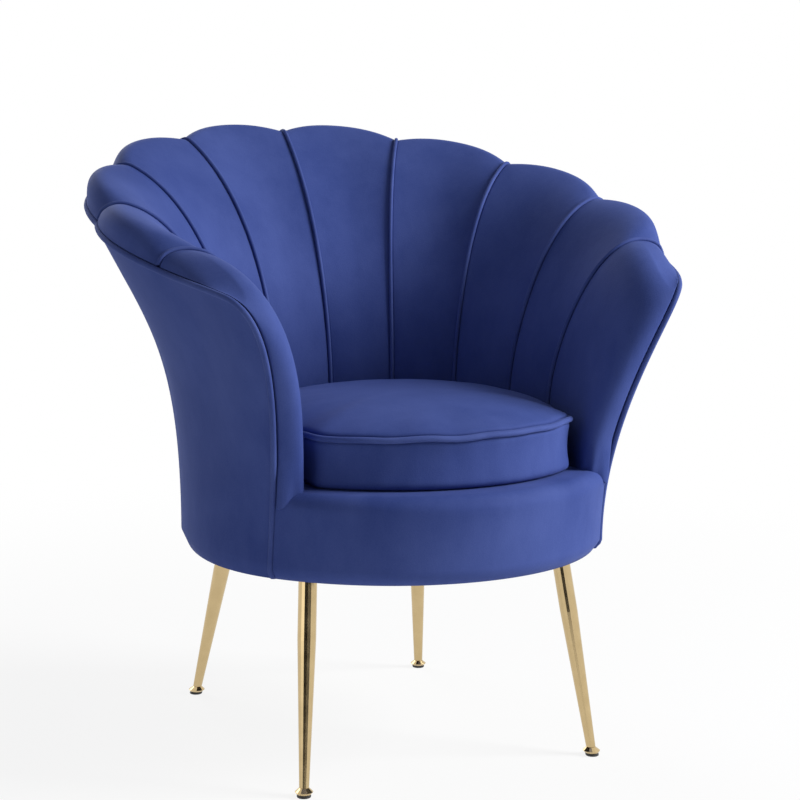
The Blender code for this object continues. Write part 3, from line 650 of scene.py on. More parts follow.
def place_piece(piece, node, body="chair"):
    """Attach a piece to the body it rides on, and hide the CAD node it stands for."""
    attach(piece, body)
    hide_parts(node)


def grid_faces(rows, columns, wrap=True):
    """Quads between the rows of a grid, whose columns may close on themselves."""
    faces = []
    for row in range(rows - 1):
        for column in range(columns if wrap else columns - 1):
            side = (column + 1) % columns
            faces.append((row * columns + column, row * columns + side,
                          (row + 1) * columns + side, (row + 1) * columns + column))
    return faces


def fan_cap(faces, vertices, first, count, middle):
    """Close a ring of vertices with triangles to a middle point."""
    vertices.append(middle)
    hub = len(vertices) - 1
    faces += [(first + side, first + (side + 1) % count, hub) for side in range(count)]


def capped_loft(rings, middles=None):
    """Vertices and faces of a row of rings, closed by a fan at each end."""
    if middles is None:
        middles = [np.asarray(ring).mean(0) for ring in (rings[0], rings[-1])]
    count = len(rings[0])
    vertices = [point for ring in rings for point in ring]
    faces = grid_faces(len(rings), count)
    for first, middle in zip((0, len(vertices) - count), middles):
        fan_cap(faces, vertices, first, count, middle)
    return vertices, faces


def spread_travel(mesh, travel, rounds):
    """Share each point's travel with its neighbours, which takes out creases."""
    ends = np.zeros(len(mesh.edges) * 2, dtype=int)
    mesh.edges.foreach_get("vertices", ends)
    here, there = ends[0::2], ends[1::2]
    links = np.bincount(ends, minlength=len(travel))[:, None]
    for _ in range(rounds):
        total = np.zeros_like(travel)
        np.add.at(total, here, travel[there])
        np.add.at(total, there, travel[here])
        travel = 0.5 * travel + 0.5 * total / links
    return travel


def even_crown(travel, count, shares):
    """Smooth the travel of a crown's rings: a fit over the radius, and part of each ring's own."""
    rings = travel[-2 - len(shares) * count:-2].reshape(len(shares), count, 3)
    mean = rings.mean(1)
    spots = np.square(shares)
    sound = spots > crown_fit_share ** 2
    fit = np.polyfit(spots[sound], mean[sound], 2)
    level = np.stack([np.polyval(fit[:, axis], spots) for axis in range(3)], 1)
    part = np.clip((crown_even_share - np.asarray(shares)) / crown_even_reach, 0, 1)[:, None]
    level = part * level + (1 - part) * mean
    uneven = crown_uneven_share * spots[:, None, None] * (rings - mean[:, None])
    rings[:] = level[:, None] + uneven
    travel[-1] = fit[-1]


def mesh_points(mesh):
    points = np.zeros(len(mesh.vertices) * 3)
    mesh.vertices.foreach_get("co", points)
    return points.reshape(-1, 3)


def inflate(piece, pinned, cap, rounds, pressure, looseness, crown=None):
    """Cloth under inside pressure; the result is applied, with each point's travel capped."""
    group = piece.vertex_groups.new(name="pin")
    for index, weight in enumerate(pinned):
        group.add([index], float(weight), "REPLACE")
    rest = mesh_points(piece.data)
    cloth = piece.modifiers.new("cloth", "CLOTH")
    settings = cloth.settings
    for name, value in cloth_stiffness.items():
        setattr(settings, name, value)
    settings.use_pressure = True
    settings.uniform_pressure_force = pressure
    settings.shrink_min = -looseness
    settings.effector_weights.gravity = 0.0
    settings.vertex_group_mass = "pin"
    cloth.collision_settings.use_collision = False
    cloth.collision_settings.use_self_collision = False
    cloth.point_cache.frame_start = 1
    cloth.point_cache.frame_end = cloth_frames
    scene = bpy.context.scene
    for step in range(1, cloth_frames + 1):
        scene.frame_set(step)
    graph = bpy.context.evaluated_depsgraph_get()
    travel = mesh_points(piece.evaluated_get(graph).data) - rest
    piece.modifiers.remove(cloth)
    scene.frame_set(1)
    length = np.linalg.norm(travel, axis=1)[:, None]
    travel = travel * np.minimum(1.0, cap / np.maximum(length, least_travel))
    travel = spread_travel(piece.data, travel, rounds)
    if crown is not None:
        even_crown(travel, *crown)
    piece.data.vertices.foreach_set("co", (rest + travel).ravel())
    piece.vertex_groups.remove(group)
    piece.data.update()


def round_out(piece):
    """One level of subdivision on top of the applied shape."""
    smoother = piece.modifiers.new("round_out", "SUBSURF")
    smoother.levels = smoother.render_levels = 1


def rear_rows(seam, shares, arm=False):
    """The CAD back of a petal at its own rows."""
    return np.array([[petal_back(seam + share, row, arm and share > shell_board_end_share)
                      for share in shares] for row in range(len(petal_row_stages))])


def seam_normal(seam, stage, along):
    """Normal of the inner face at a seam, for a direction along the row."""
    rise = (inner_point(seam, min(stage + slope_step, 3.0))
            - inner_point(seam, max(stage - slope_step, 0.0)))
    return unit(np.cross(along, rise))


def beside_seam(seam, stage, place):
    """Share beside a seam that clears its welt, and the point behind the welt."""
    along = place(slope_step) - place(0.0)
    clear = channel_welt_radius + welt_clear
    hidden = (inner_point(seam, stage) - (clear + welt_clear) * seam_normal(seam, stage, along)
              + welt_clear * unit(along))
    return clear * slope_step / np.linalg.norm(along), hidden


def turned_towards(point, seam_spot, way):
    """The point, turned to the other side of its seam where it lies against a way."""
    return 2 * seam_spot - point if float((point - seam_spot) @ way) < 0 else point


def row_places():
    """Stages of the fine rows of a petal, with a tight one at the hem."""
    return np.concatenate(([0.0, hem_tight_stage], np.linspace(0.0, 1.0, seat_row_steps + 1)[1:-1],
                           np.linspace(1.0, 2.0, back_row_steps + 1)[:-1],
                           np.linspace(2.0, rim_stage, rim_row_steps + 1)))


def rim_part(stage):
    """How far a row has turned from the padded face to the rim."""
    return smooth((stage - petal_row_stages[-1]) / (rim_stage - petal_row_stages[-1]))


def between_rows(rows, stage):
    """A row of the CAD back at any stage."""
    marks = np.asarray(petal_row_stages)
    spot = min(stage, marks[-1])
    after = int(np.clip(np.searchsorted(marks, spot), 1, len(marks) - 1))
    part = (spot - marks[after - 1]) / (marks[after] - marks[after - 1])
    return (1 - part) * rows[after - 1] + part * rows[after]


def face_point(station, top, place):
    """A point of a petal's face, which ends on its rim."""
    if top >= 1:
        return petal_rim(station, 0)
    rim = petal_rim(station, 0) if top > 0 else 0.0
    return (1 - top) * place() + top * rim


def soft_petal(seam):
    """Fine closed loft of the petal between two seams: front grid, rim edge and back."""
    hair = seam_gap / (base_petal_angle * base_radius)
    back_shares = np.linspace(1 - hair, hair, petal_rear_columns)
    rear = rear_rows(seam, back_shares)
    sections = []
    for stage in row_places():
        top = rim_part(stage)
        back = between_rows(rear, stage)
        if stage >= rim_stage:
            back = [petal_rim(seam + share, petal_edge_depth) for share in back_shares]
        start, end = inner_point(seam, stage), inner_point(seam + 1, stage)
        near, behind = beside_seam(seam, stage, lambda part: inner_point(seam + part, stage))
        far, beyond = beside_seam(seam + 1, stage, lambda part: inner_point(seam + 1 - part, stage))
        beyond = turned_towards(beyond, end, behind - start)
        tight = tight_column_share * near
        middle = np.linspace(near + column_margin, 1 - far - column_margin, petal_columns - 4)
        shares = np.concatenate(([near, near + tight], middle, [1 - far - tight, 1 - far]))
        front = [face_point(seam + share, top, lambda: padded_point(seam + share, stage))
                 for share in shares]
        sections.append([behind, *front, beyond, *back])
    return np.asarray(sections)


def lip_height(point):
    """Top of the front apron under a point."""
    edge = apron_radius(apron_top - apron_lip_round)
    beyond = math.hypot(point[0], point[1]) - (edge - apron_lip_round)
    if beyond <= 0:
        return apron_top
    return apron_top - apron_lip_round + math.sqrt(max(apron_lip_round ** 2 - beyond ** 2, 0.0))


def hem_point(share, stage, inward):
    """A point of the arm's front, whose hem drops onto the apron's lip and puckers a little."""
    bottom = arm_low_stage(share)
    point = arm_point(share, stage if stage >= 1 else bottom + stage * (1 - bottom))
    low = 1 - smooth(stage / hem_stages)
    if low > 0:
        drop = max(point[2] - lip_height(point), 0.0)
        wave = (math.sin(2 * math.pi * pucker_count * share) * smooth(pucker_rise * share - 1)
                * smooth(pucker_fall - pucker_fall * share))
        point = point - low * (drop + hem_tuck) * UP + low * pucker_depth * wave * inward
    return point


def soft_arm():
    """Fine closed loft of the petal that wraps an arm's front, down to the lip of the apron."""
    hair = frame_gap / (base_petal_angle * base_radius)
    over_end = shell_board_end_share + shell_board_end_gap / (base_petal_angle * base_radius)
    over_shares = (*over_board_shares, over_end)
    inner_shares = (over_end, *inside_board_shares, hair)
    over = rear_rows(arm_seam, over_shares, arm=True)
    inner = rear_rows(arm_seam, inner_shares)
    over[0][:, 2] = np.maximum(over[0][:, 2], apron_top + seam_gap)
    back_by, height = hem_inward_place
    inward = outer_point(petals_per_side - back_by, height) - outer_point(petals_per_side, height)
    inward = unit(inward)
    hem_way = unit(inward + np.array(arm_hem_way_shares))
    sections = []
    for stage in row_places():
        top = rim_part(stage)

        def face(share):
            return face_point(arm_seam + share, top, lambda: hem_point(share, stage, inward))

        back = [face(1.0) + petal_edge_depth * hem_way, *between_rows(over, stage),
                *between_rows(inner, stage)]
        if stage >= rim_stage:
            back = [petal_rim(arm_seam + share, petal_edge_depth)
                    for share in (1.0, *over_shares, *inner_shares)]
        near, behind = beside_seam(arm_seam, stage, face)
        start = inner_point(arm_seam, stage)
        behind = turned_towards(behind, start, back[-1] - start)
        shares = np.linspace(near + arm_column_margin, 1.0, 2 * petal_columns - 2)
        shares = np.concatenate(([near, (1 + tight_column_share) * near], shares))
        sections.append([behind, *[face(share) for share in shares], *back])
    return np.asarray(sections)


def petal_piece(number, sections, front_count, look, pins):
    """A soft petal from its sections, swollen by simulation, standing for its CAD node."""
    rows, columns = sections.shape[:2]
    vertices = list(sections.reshape(-1, 3))
    faces = grid_faces(rows, columns)
    fan_cap(faces, vertices, 0, columns, sections[0].mean(0))
    first = (rows - 1) * columns
    front = range(first, first + front_count)
    back = range(first + columns - 1, first + front_count - 1, -1)
    i = j = 0
    while i < len(front) - 1 or j < len(back) - 1:
        ahead = (i + 1) / (len(front) - 1)
        beside = (j + 1) / (len(back) - 1)
        if j == len(back) - 1 or (i < len(front) - 1 and ahead <= beside):
            faces.append((front[i], front[i + 1], back[j]))
            i += 1
        else:
            faces.append((front[i], back[j + 1], back[j]))
            j += 1
    piece = shade_object("soft_petal_%02d" % number, vertices, faces, look, "velvet")
    inflate(piece, [*pins, 1.0], **petal_cloth)
    round_out(piece)
    place_piece(piece, "petal_%02d" % number)


def petal_pins(rows, columns, front_count, free_last):
    """Pin weights: held along the seams, the deck, the rim and the back, free in the middle."""
    weights = np.ones((rows, columns))
    places = np.linspace(0, 1, front_count)
    side = 1 - np.clip(4 * places * (1 - places) * petal_pin_fall, 0, 1)
    if free_last:
        side = np.where(places > 0.5, 1 - np.clip((1 - places) * nose_pin_fall, 0, 1), side)
    low = np.clip(1 - np.arange(rows) / pinned_rows, 0, 1)
    weights[:, :front_count] = np.clip(side[None, :] + (low + low[::-1])[:, None], 0, 1)
    return weights.ravel()


def add_soft_petals(look):
    for seam in range(petals_per_side):
        arm = seam == arm_seam
        sections = soft_arm() if arm else soft_petal(seam)
        front = 2 * petal_columns + 1 if arm else petal_columns + 2
        pins = petal_pins(*sections.shape[:2], front, arm)
        petal_piece(petals_per_side + seam + 1, sections, front, look, pins)
        petal_piece(petals_per_side - seam, mirrored(sections), front, look, pins)


def tube_piece(name, node, path, radius, look, closed=False, body="chair", ends=None):
    """Piped welt: a round cord under a fabric strip, closed at both ends."""
    path = np.asarray(path)
    count = len(path)
    normal = None
    rings = []
    for index in range(count):
        if closed:
            way = path[(index + 1) % count] - path[index - 1]
        else:
            way = path[min(index + 1, count - 1)] - path[max(index - 1, 0)]
        way = unit(way)
        if ends is not None and index in (0, count - 1):
            way = ends if index == 0 else -ends
        if normal is None:
            normal = np.cross(way, UP if abs(way[2]) < steep_way else np.array((1.0, 0.0, 0.0)))
        normal = unit(normal - way * float(normal @ way))
        across = np.cross(way, normal)
        turns = [2 * math.pi * side / tube_sides for side in range(tube_sides)]
        rings.append([path[index] + radius * (math.cos(turn) * normal + math.sin(turn) * across)
                      for turn in turns])
    if closed:
        vertices = [point for ring in rings for point in ring]
        faces = [tuple(corner % len(vertices) for corner in face)
                 for face in grid_faces(count + 1, tube_sides)]
    else:
        vertices, faces = capped_loft(rings, (path[0], path[-1]))
    piece = shade_object(name, vertices, faces, look, "velvet_piping")
    place_piece(piece, node, body)


def seam_lifted(seam, stage):
    """Middle of a channel welt, which stands a little proud of the seam."""
    along = inner_point(seam + slope_step, stage) - inner_point(seam - slope_step, stage)
    lift = welt_lift * (1 - smooth((stage - welt_settle_stage) / welt_settle_stages))
    return inner_point(seam, stage) + lift * seam_normal(seam, stage, along)


def bottom_turn(height):
    """How far the upholstery has turned in at a height over the base."""
    return base_bottom_inset * (1 - smooth((height - base_height) / base_bottom_round))


def add_soft_welts(look):
    reach = edge_welt_radius + channel_welt_radius + seam_gap
    for seam in range(-arm_seam, petals_per_side):
        stages = np.linspace(0.0, end_stage(abs(seam), reach), welt_rows)
        path = [seam_lifted(abs(seam), stage) for stage in stages]
        path[0] = path[0] + seam_gap * UP
        if seam < 0:
            path = mirrored(path)
        number = seam + petals_per_side
        tube_piece("welt_%d" % number, "channel_welt_%d" % number, path, channel_welt_radius, look)
    shares = np.concatenate((np.linspace(0.0, arm_welt_low_share, arm_welt_low_rows)[:-1],
                             np.linspace(arm_welt_low_share, 1.0, arm_welt_rows)[:-1]))
    half = [outer_point(petals_per_side, share) for share in shares]
    half = [point - bottom_turn(point[2]) * unit(point * np.array((1.0, 1.0, 0.0)))
            for point in half]
    stations = np.linspace(petals_per_side, 0.0, rim_welt_steps * petals_per_side + 1)
    half += [edge_point(station) for station in stations[:-1]]
    path = np.concatenate((mirrored(half), [edge_point(0.0)], half[::-1]))
    tube_piece("rim_welt", "edge_welt", path, edge_welt_radius, look, ends=UP)


def cover_points(spot, share, row):
    """Outer and inner point of the cover, which thins to the rim and turns in at its bottom."""
    point = outer_point(spot, share)
    thin = smooth((row - cover_rows + cover_thin_rows) / (cover_thin_rows - 1))
    inside = skin_point(spot, share, skin_thickness * (1 - cover_thin_share * thin))
    return point - bottom_turn(point[2]) * outward(base_petal_angle * spot), inside


def add_soft_cover(look):
    """Outer cover as one smooth skin, thin at its edges."""
    path = side_welt_path()
    clearance = edge_welt_radius + frame_gap * cover_clear_share
    even, close, end = (petals_per_side - reach for reach in cover_end_reaches)
    columns = []
    stations = (*np.linspace(0, even, cover_columns), *np.linspace(close, end, cover_end_columns))
    for station in stations:
        top = largest_clear(lambda share: outer_point(station, share), path, clearance)
        columns.append([cover_points(station, top * row / (cover_rows - 1), row)
                        for row in range(cover_rows)])
    left = petals_per_side - station
    column = []
    for row in range(cover_rows):
        share = top * row / (cover_rows - 1)

        def place(part):
            return outer_point(station + part * left, share)

        spot = station + left * largest_clear(place, path, clearance)
        column.append(cover_points(spot, share, row))
    sides = np.asarray(columns + [column]).transpose(2, 1, 0, 3)
    sides = np.concatenate((mirrored(sides[:, :, :0:-1]), sides), axis=2)
    count = sides.shape[2]
    skin = grid_faces(cover_rows, count, wrap=False)
    offset = cover_rows * count
    faces = skin + [tuple(offset + index for index in face[::-1]) for face in skin]
    spots = np.arange(offset).reshape(cover_rows, count)
    border = [*spots[0], *spots[1:, -1], *spots[-1, -2::-1], *spots[-2:0:-1, 0]]
    border = [int(spot) for spot in border]
    faces += [(here, there, offset + there, offset + here)
              for here, there in zip(border, border[1:] + border[:1])]
    piece = shade_object("back_cover", sides.reshape(-1, 3), faces, look, "velvet", skin_sharp)
    place_piece(piece, "outer_cover")


def add_soft_apron(look):
    """Padded front band with its rounded lip."""
    shoulder = apron_top - apron_lip_round
    section = []
    for share in np.linspace(0, 1, apron_rows):
        height = base_height + share * (shoulder - base_height)
        swell = apron_swell * 4 * share * (1 - share)
        section.append((apron_radius(height) - bottom_turn(height) + swell, height))
    for share in np.linspace(0, 1, apron_lip_rows)[1:]:
        turn = share * math.pi / 2
        radius = apron_radius(shoulder) - apron_lip_round * (1 - math.cos(turn))
        section.append((radius, shoulder + apron_lip_round * math.sin(turn)))
    lip_inside = apron_radius(apron_top) - apron_lip_width
    band, ledge = frame_radius + seam_gap, frame_top + seam_gap
    section += [(lip_inside, apron_top), (lip_inside, ledge), (band, ledge), (band, base_height)]
    ends = [apron_end_angle(height) for _, height in section]
    vertices = []
    for share in np.linspace(0, 1, apron_columns):
        for (radius, height), end in zip(section, ends):
            angle = end + share * 2 * (math.pi - end)
            vertices.append(radius * outward(angle) + height * UP)
    count = len(section)
    faces = grid_faces(apron_columns, count)
    faces += [tuple(range(first, first + count)) for first in (0, (apron_columns - 1) * count)]
    piece = shade_object("soft_apron", vertices, faces, look, "velvet", skin_sharp)
    place_piece(piece, "front_apron")


def seat_plan(height, rear_gap, half_width, front_gap, corner, count):
    """Evenly spaced outline of the cushion or the deck, inside petals, arms and apron."""
    rear = seat_point(0, height)[1] - seat_centre_y - petal_bulge - rear_gap
    outline = seat_outline(rear, half_width, apron_radius(apron_top) - front_gap, corner)
    closed = np.concatenate((outline, outline[:1]))
    lengths = np.linalg.norm(np.diff(closed, axis=0), axis=1)
    lengths = np.concatenate(([0.0], np.cumsum(lengths)))
    places = np.linspace(0, lengths[-1], count, endpoint=False)
    return np.stack([np.interp(places, lengths, closed[:, axis]) for axis in range(3)], axis=1)


def add_soft_cushion(look, welt_look):
    """Boxed cushion: crowned top, drawn-in sides and a piped top seam."""
    outline = seat_plan(cushion_bottom, cushion_side_gap, arm_inside() - cushion_arm_gap,
                        cushion_front_gap, soft_corner_radius, outline_points)
    for _ in range(outline_rounds):
        outline = (np.roll(outline, 1, axis=0) + 2 * outline + np.roll(outline, -1, axis=0)) / 4
    around = np.linspace(0, 2 * math.pi, outline_points, endpoint=False)[:, None]
    lean = cushion_lean * outline[:, :1] / outline[:, 0].max()
    wave = seam_wave * sum(np.sin(count * around + turn) for count, turn in seam_waves)
    seam = cushion_welt_height + lean + wave
    rings, pins, crown_shares = [], [], []

    def ring(points, weight):
        rings.append(points)
        pins.extend([weight] * outline_points)

    for share in np.linspace(*cushion_bottom_shares):
        ring(scaled_ring(outline, share, cushion_bottom), 1.0)
    for turn in np.linspace(0, math.pi / 2, cushion_round_rings):
        inset = soft_bottom_round * (1 - math.sin(turn))
        rise = soft_bottom_round * (1 - math.cos(turn))
        ring(ring_at(outline, inset, cushion_bottom + rise), round_pin)
    low = cushion_bottom + soft_bottom_round
    side_top = seam - cushion_welt_radius * side_seam_share
    for share in np.linspace(0, 1, cushion_side_rings + 1)[1:]:
        inset = cushion_draw_in * 4 * share * (1 - share)
        ring(ring_at(outline, inset, low + share * (side_top - low)),
             side_pin + (1 - side_pin) * share)
    groove = cushion_welt_radius * groove_share
    for level in (seam - groove * groove_half_share, seam + groove * groove_half_share):
        ring(ring_at(outline, groove, level), 1.0)
    for step in range(crown_rings):
        share = 1 - (step + crown_start_step) / crown_rings
        rise = 1 - share ** crown_power
        level = cushion_welt_height + groove + lean * share + wave * share ** 4
        ring(scaled_ring(outline, share, level + (cushion_crown - cushion_swell) * rise),
             crown_first_pin if step == 0 else max(0.0, crown_pin - step * crown_pin_fall))
        crown_shares.append(share)
    piece = shade_object("soft_cushion", *capped_loft(rings), look, "velvet")
    inflate(piece, [*pins, 1.0, 0.0], **cushion_cloth, crown=(outline_points, crown_shares))
    round_out(piece)
    place_piece(piece, "seat_cushion", "cushion")
    tube_piece("cushion_piping", "cushion_welt", ring_at(outline, 0, seam), cushion_welt_radius,
               welt_look, closed=True, body="cushion")


def add_soft_deck(look):
    """Thin padding over the webbing, whose cloth runs in under the arms."""
    outline = seat_plan(frame_top, 2 * foam_gap, arm_inside() + deck_reach,
                        apron_lip_width + foam_gap, deck_corner, deck_points)
    top = cushion_bottom - seam_gap
    rings = [scaled_ring(outline, share, deck_bottom) for share in np.linspace(*deck_bottom_shares)]
    rings.append(ring_at(outline, 0, deck_bottom))
    for turn in np.linspace(0, math.pi / 2, deck_round_rings):
        inset = deck_edge_round * (1 - math.cos(turn))
        rings.append(ring_at(outline, inset, top - deck_edge_round * (1 - math.sin(turn))))
    rings += [scaled_ring(outline, share, top) for share in np.linspace(*deck_top_shares)]
    piece = shade_object("soft_deck", *capped_loft(rings), look, "velvet")
    place_piece(piece, "deck_pad")


def add_bottom_lining(look):
    """Lining stretched under the frame."""
    radius = frame_radius - dust_cover_margin
    circle = np.array(arc(0.0, radius, 0.0, 2 * math.pi, lining_sides)[:-1])
    shares = [ring / lining_rings for ring in range(1, lining_rings + 1)]
    low, high = base_height * UP, (base_height + dust_cover_thickness) * UP
    rings = [share * circle + low for share in shares]
    rings += [share * circle + high for share in shares[::-1]]
    piece = shade_object("bottom_lining", *capped_loft(rings, (low, high)), look, "lining",
                         lining_sharp)
    place_piece(piece, "dust_cover")


# Materials


def new_look(name):
    """A material with its node tree and its Principled shader."""
    made = bpy.data.materials.new(name)
    made.use_nodes = True
    tree = made.node_tree
    return made, tree, tree.nodes["Principled BSDF"]


def fill_inputs(node, inputs):
    """Give a node's inputs their values, or link them where another node's output is given."""
    for name, value in inputs.items():
        if isinstance(value, bpy.types.NodeSocket):
            node.id_data.links.new(value, node.inputs[name])
        else:
            node.inputs[name].default_value = value


def add_node(tree, kind, output, inputs=None, **settings):
    """A shader node with its settings and inputs; gives back one of its outputs."""
    node = tree.nodes.new("ShaderNode" + kind)
    for setting, value in settings.items():
        setattr(node, setting, value)
    fill_inputs(node, inputs or {})
    return node.outputs[output]


def add_noise(tree, place, scale, **more):
    inputs = {name.title(): value for name, value in more.items()}
    return add_node(tree, "TexNoise", "Fac", {"Vector": place, "Scale": scale, **inputs})


def add_bump(tree, height, strength, distance, under=None):
    """A bump of a value, over the normal of another bump where one is given."""
    inputs = {"Height": height, "Strength": strength, "Distance": distance}
    if under is not None:
        inputs["Normal"] = under
    return add_node(tree, "Bump", "Normal", inputs)


def two_tones(tree, source, low, high, positions=(0.0, 1.0)):
    """A colour ramp of two tones over a value."""
    ramp = tree.nodes.new("ShaderNodeValToRGB")
    for element, tone, position in zip(ramp.color_ramp.elements, (low, high), positions):
        element.position = position
        element.color = (*tone, 1.0)
    fill_inputs(ramp, {"Fac": source})
    return ramp.outputs["Color"]


def between(tree, source, low, high):
    """A value spread between two levels."""
    return add_node(tree, "MapRange", "Result", {"Value": source, "To Min": low, "To Max": high})


def velvet_look(name, deep, pale, scale):
    """Short-pile velvet: patches where the pile lies differently, brushed marks and fibres."""
    made, tree, shader = new_look(name)
    place = add_node(tree, "TexCoord", "Object")
    patches = add_noise(tree, place, scale, detail=2.0, distortion=0.6)
    drawn = add_node(tree, "Mapping", "Vector", {"Vector": place, "Scale": (1.0, 1.0, 0.55)})
    brushed = add_noise(tree, drawn, 38.0, detail=4.0, roughness=0.65)
    fibres = add_noise(tree, place, 700.0, detail=2.0)
    marks = add_node(tree, "Mix", "Result", {"A": patches, "B": brushed, "Factor": 0.30})
    tone = add_node(tree, "Mix", "Result", {"A": marks, "B": fibres, "Factor": 0.16})
    soft = add_bump(tree, brushed, 0.35, 0.0010)
    fill_inputs(shader, {"Base Color": two_tones(tree, tone, deep, pale, (0.34, 0.66)),
                         "Roughness": between(tree, marks, 0.60, 0.85),
                         "Normal": add_bump(tree, fibres, 0.30, 0.0005, under=soft),
                         "Specular IOR Level": 0.10, "Sheen Weight": 0.12,
                         "Sheen Roughness": 0.40, "Sheen Tint": (0.40, 0.50, 0.95, 1.0)})
    return made


def gold_look():
    """Pale gold plate with a slightly uneven polish."""
    made, tree, shader = new_look("pale_gold")
    clouds = add_noise(tree, add_node(tree, "TexCoord", "Object"), 60.0)
    tones = two_tones(tree, clouds, (0.52, 0.390, 0.200), (0.64, 0.490, 0.270))
    fill_inputs(shader, {"Base Color": tones, "Metallic": 1.0,
                         "Roughness": between(tree, clouds, 0.12, 0.22)})
    return made


def plain_look(name, low, high, scale, rough, metallic=0.0, bump_height=0.0003):
    """Two tones and a fine bump by noise in the object's own space."""
    made, tree, shader = new_look(name)
    noise = add_noise(tree, add_node(tree, "TexCoord", "Object"), scale, detail=4.0)
    fill_inputs(shader, {"Base Color": two_tones(tree, noise, low, high),
                         "Normal": add_bump(tree, noise, 0.3, bump_height),
                         "Roughness": rough, "Metallic": metallic})
    return made


def weave_look(name, low, high, pitch, rough):
    """Plain weave from two crossed wave textures in the object's own space."""
    made, tree, shader = new_look(name)
    inputs = {"Vector": add_node(tree, "TexCoord", "Object"), "Scale": 1.0 / pitch / 3.0,
              "Distortion": 0.3}
    waves = [add_node(tree, "TexWave", "Fac", inputs, bands_direction=way) for way in "XY"]
    cross = add_node(tree, "Math", "Value", dict(enumerate(waves)), operation="MULTIPLY")
    fill_inputs(shader, {"Base Color": two_tones(tree, cross, low, high), "Roughness": rough,
                         "Normal": add_bump(tree, cross, 0.5, 0.0004)})
    return made


def dress_nodes():
    """Materials for the CAD nodes that stay in view."""
    looks = {
        "gold_plate": gold_look(),
        "zinc_screw": plain_look("zinc", (0.50, 0.50, 0.49), (0.66, 0.66, 0.64), 300.0, 0.35, 1.0,
                                 0.0001),
        "glide_pad": plain_look("black_pad", (0.012, 0.012, 0.013), (0.030, 0.030, 0.032), 400.0,
                                0.6),
        "plywood": plain_look("ply", (0.50, 0.35, 0.20), (0.68, 0.52, 0.33), 12.0, 0.6),
        "webbing": weave_look("web", (0.02, 0.02, 0.02), (0.09, 0.09, 0.09), 0.002, 0.85),
    }
    slots = {entry["node"]: entry["material_slot"] for entry in frame["record"]["subparts"]}
    for name, node in frame["nodes"].items():
        if slots[name] in looks:
            for slot in node.material_slots:
                slot.material = looks[slots[name]]


# Studio


def stage_piece(name, corners, look):
    """One flat face of the studio, which isn't part of the object."""
    mesh = bpy.data.meshes.new(name)
    mesh.from_pydata([tuple(corner) for corner in corners], [], [tuple(range(len(corners)))])
    mesh.materials.append(look)
    made = new_object(name, mesh)
    return made


def add_dark_card():
    """The unlit side of the studio behind the camera, which only polished metal shows."""
    ahead = outward(camera_turn)
    side = np.array((ahead[1], -ahead[0], 0.0))
    corners = [-card_distance * ahead + x * card_half_width * side
               + (card_middle + z * card_half_height) * UP
               for x, z in ((-1, -1), (1, -1), (1, 1), (-1, 1))]
    look, _, shader = new_look("card_black")
    fill_inputs(shader, {"Base Color": (0.01, 0.01, 0.01, 1.0), "Roughness": 1.0})
    card = stage_piece("dark_card", corners, look)
    for rays in ("camera", "diffuse", "shadow", "transmission"):
        setattr(card, "visible_" + rays, False)


def show_white(tree, lit, bright, target, share=None):
    """White for camera and glossy rays, and the lit shader for the rays that light the object."""
    rays = tree.nodes.new("ShaderNodeLightPath").outputs
    seen = add_node(tree, "Math", "Value", {0: rays["Is Camera Ray"], 1: rays["Is Glossy Ray"]},
                    operation="MAXIMUM")
    if share is not None:
        seen = add_node(tree, "Math", "Value", {0: seen, 1: share}, operation="MULTIPLY")
    mixed = add_node(tree, "MixShader", "Shader", {"Fac": seen, 1: lit, 2: bright})
    fill_inputs(tree.nodes[target], {"Surface": mixed})


def add_world():
    """Weak even light on the object, and white behind it."""
    world = bpy.data.worlds.new("studio")
    bpy.context.scene.world = world
    world.use_nodes = True
    tree = world.node_tree
    soft = tree.nodes["Background"]
    fill_inputs(soft, {"Color": white, "Strength": world_strength})
    seen = add_node(tree, "Background", "Background", {"Color": white, "Strength": 1.0})
    show_white(tree, soft.outputs["Background"], seen, "World Output")


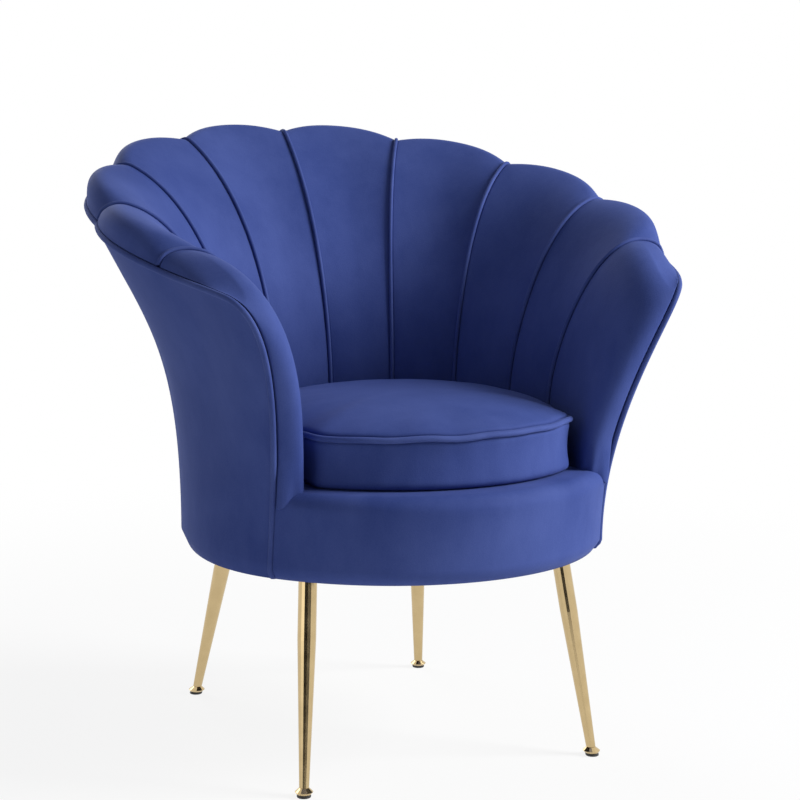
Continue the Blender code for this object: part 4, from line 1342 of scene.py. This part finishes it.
def add_floor():
    """Round white floor, which keeps the object's shadow near it."""
    look, tree, shader = new_look("floor")
    fill_inputs(shader, {"Base Color": floor_white, "Roughness": 0.9, "Specular IOR Level": 0.0})
    glow = add_node(tree, "Emission", "Emission", {"Strength": floor_glow})
    place = add_node(tree, "TexCoord", "Object")
    away = add_node(tree, "VectorMath", "Value", {0: place}, operation="LENGTH")
    near, far = floor_shadow_reach
    reach = add_node(tree, "MapRange", "Result", {"Value": away, "From Min": near, "From Max": far,
                     "To Min": floor_glow_share}, interpolation_type="SMOOTHSTEP")
    show_white(tree, shader.outputs["BSDF"], glow, "Material Output", reach)
    stage_piece("floor", arc(0.0, floor_reach, 0.0, 2 * math.pi, floor_sides)[:-1], look)


def add_lamps():
    for name, place, size, power in lamps:
        data = bpy.data.lights.new(name, "AREA")
        data.shape = "RECTANGLE"
        data.size, data.size_y = size
        data.energy = power
        lamp = new_object(name, data)
        lamp.location = place
        lamp.rotation_mode = "QUATERNION"
        lamp.rotation_quaternion = (lamp_aim - Vector(place)).to_track_quat("-Z", "Y")


def add_camera():
    """Camera at the photograph's place, solved from the feet, the rim and the seams."""
    ahead = math.cos(camera_dip) * outward(camera_turn) - math.sin(camera_dip) * UP
    across = np.array((math.cos(camera_turn), -math.sin(camera_turn), 0.0))
    upward = np.cross(across, ahead)
    aim = np.array((0.0, camera_aim_forward + float(shift[1]), camera_aim_height))
    place = (aim + camera_aim_across * across + camera_aim_up * upward
             - camera_distance * ahead)
    right = math.cos(camera_roll) * across + math.sin(camera_roll) * upward
    above = math.cos(camera_roll) * upward - math.sin(camera_roll) * across
    data = bpy.data.cameras.new("camera")
    data.sensor_width = camera_sensor
    data.lens = camera_focal
    camera = new_object("camera", data)
    axes = np.array((right, above, -ahead, place)).T
    camera.matrix_world = Matrix([*axes.tolist(), (0.0, 0.0, 0.0, 1.0)])
    bpy.context.scene.camera = camera


velvet = velvet_look("navy_velvet", (0.036, 0.063, 0.250), (0.070, 0.106, 0.345), 5.0)
piping = velvet_look("navy_piping", (0.041, 0.068, 0.260), (0.080, 0.118, 0.360), 9.0)
lining = weave_look("dark_lining", (0.006, 0.008, 0.020), (0.022, 0.028, 0.060), 0.0015, 0.9)
add_soft_petals(velvet)
add_soft_welts(piping)
add_soft_cover(velvet)
add_soft_apron(velvet)
add_soft_cushion(velvet, piping)
add_soft_deck(velvet)
add_bottom_lining(lining)
dress_nodes()
bpy.context.scene.view_settings.view_transform = "Standard"
add_world()
add_floor()
add_dark_card()
add_lamps()
add_camera()
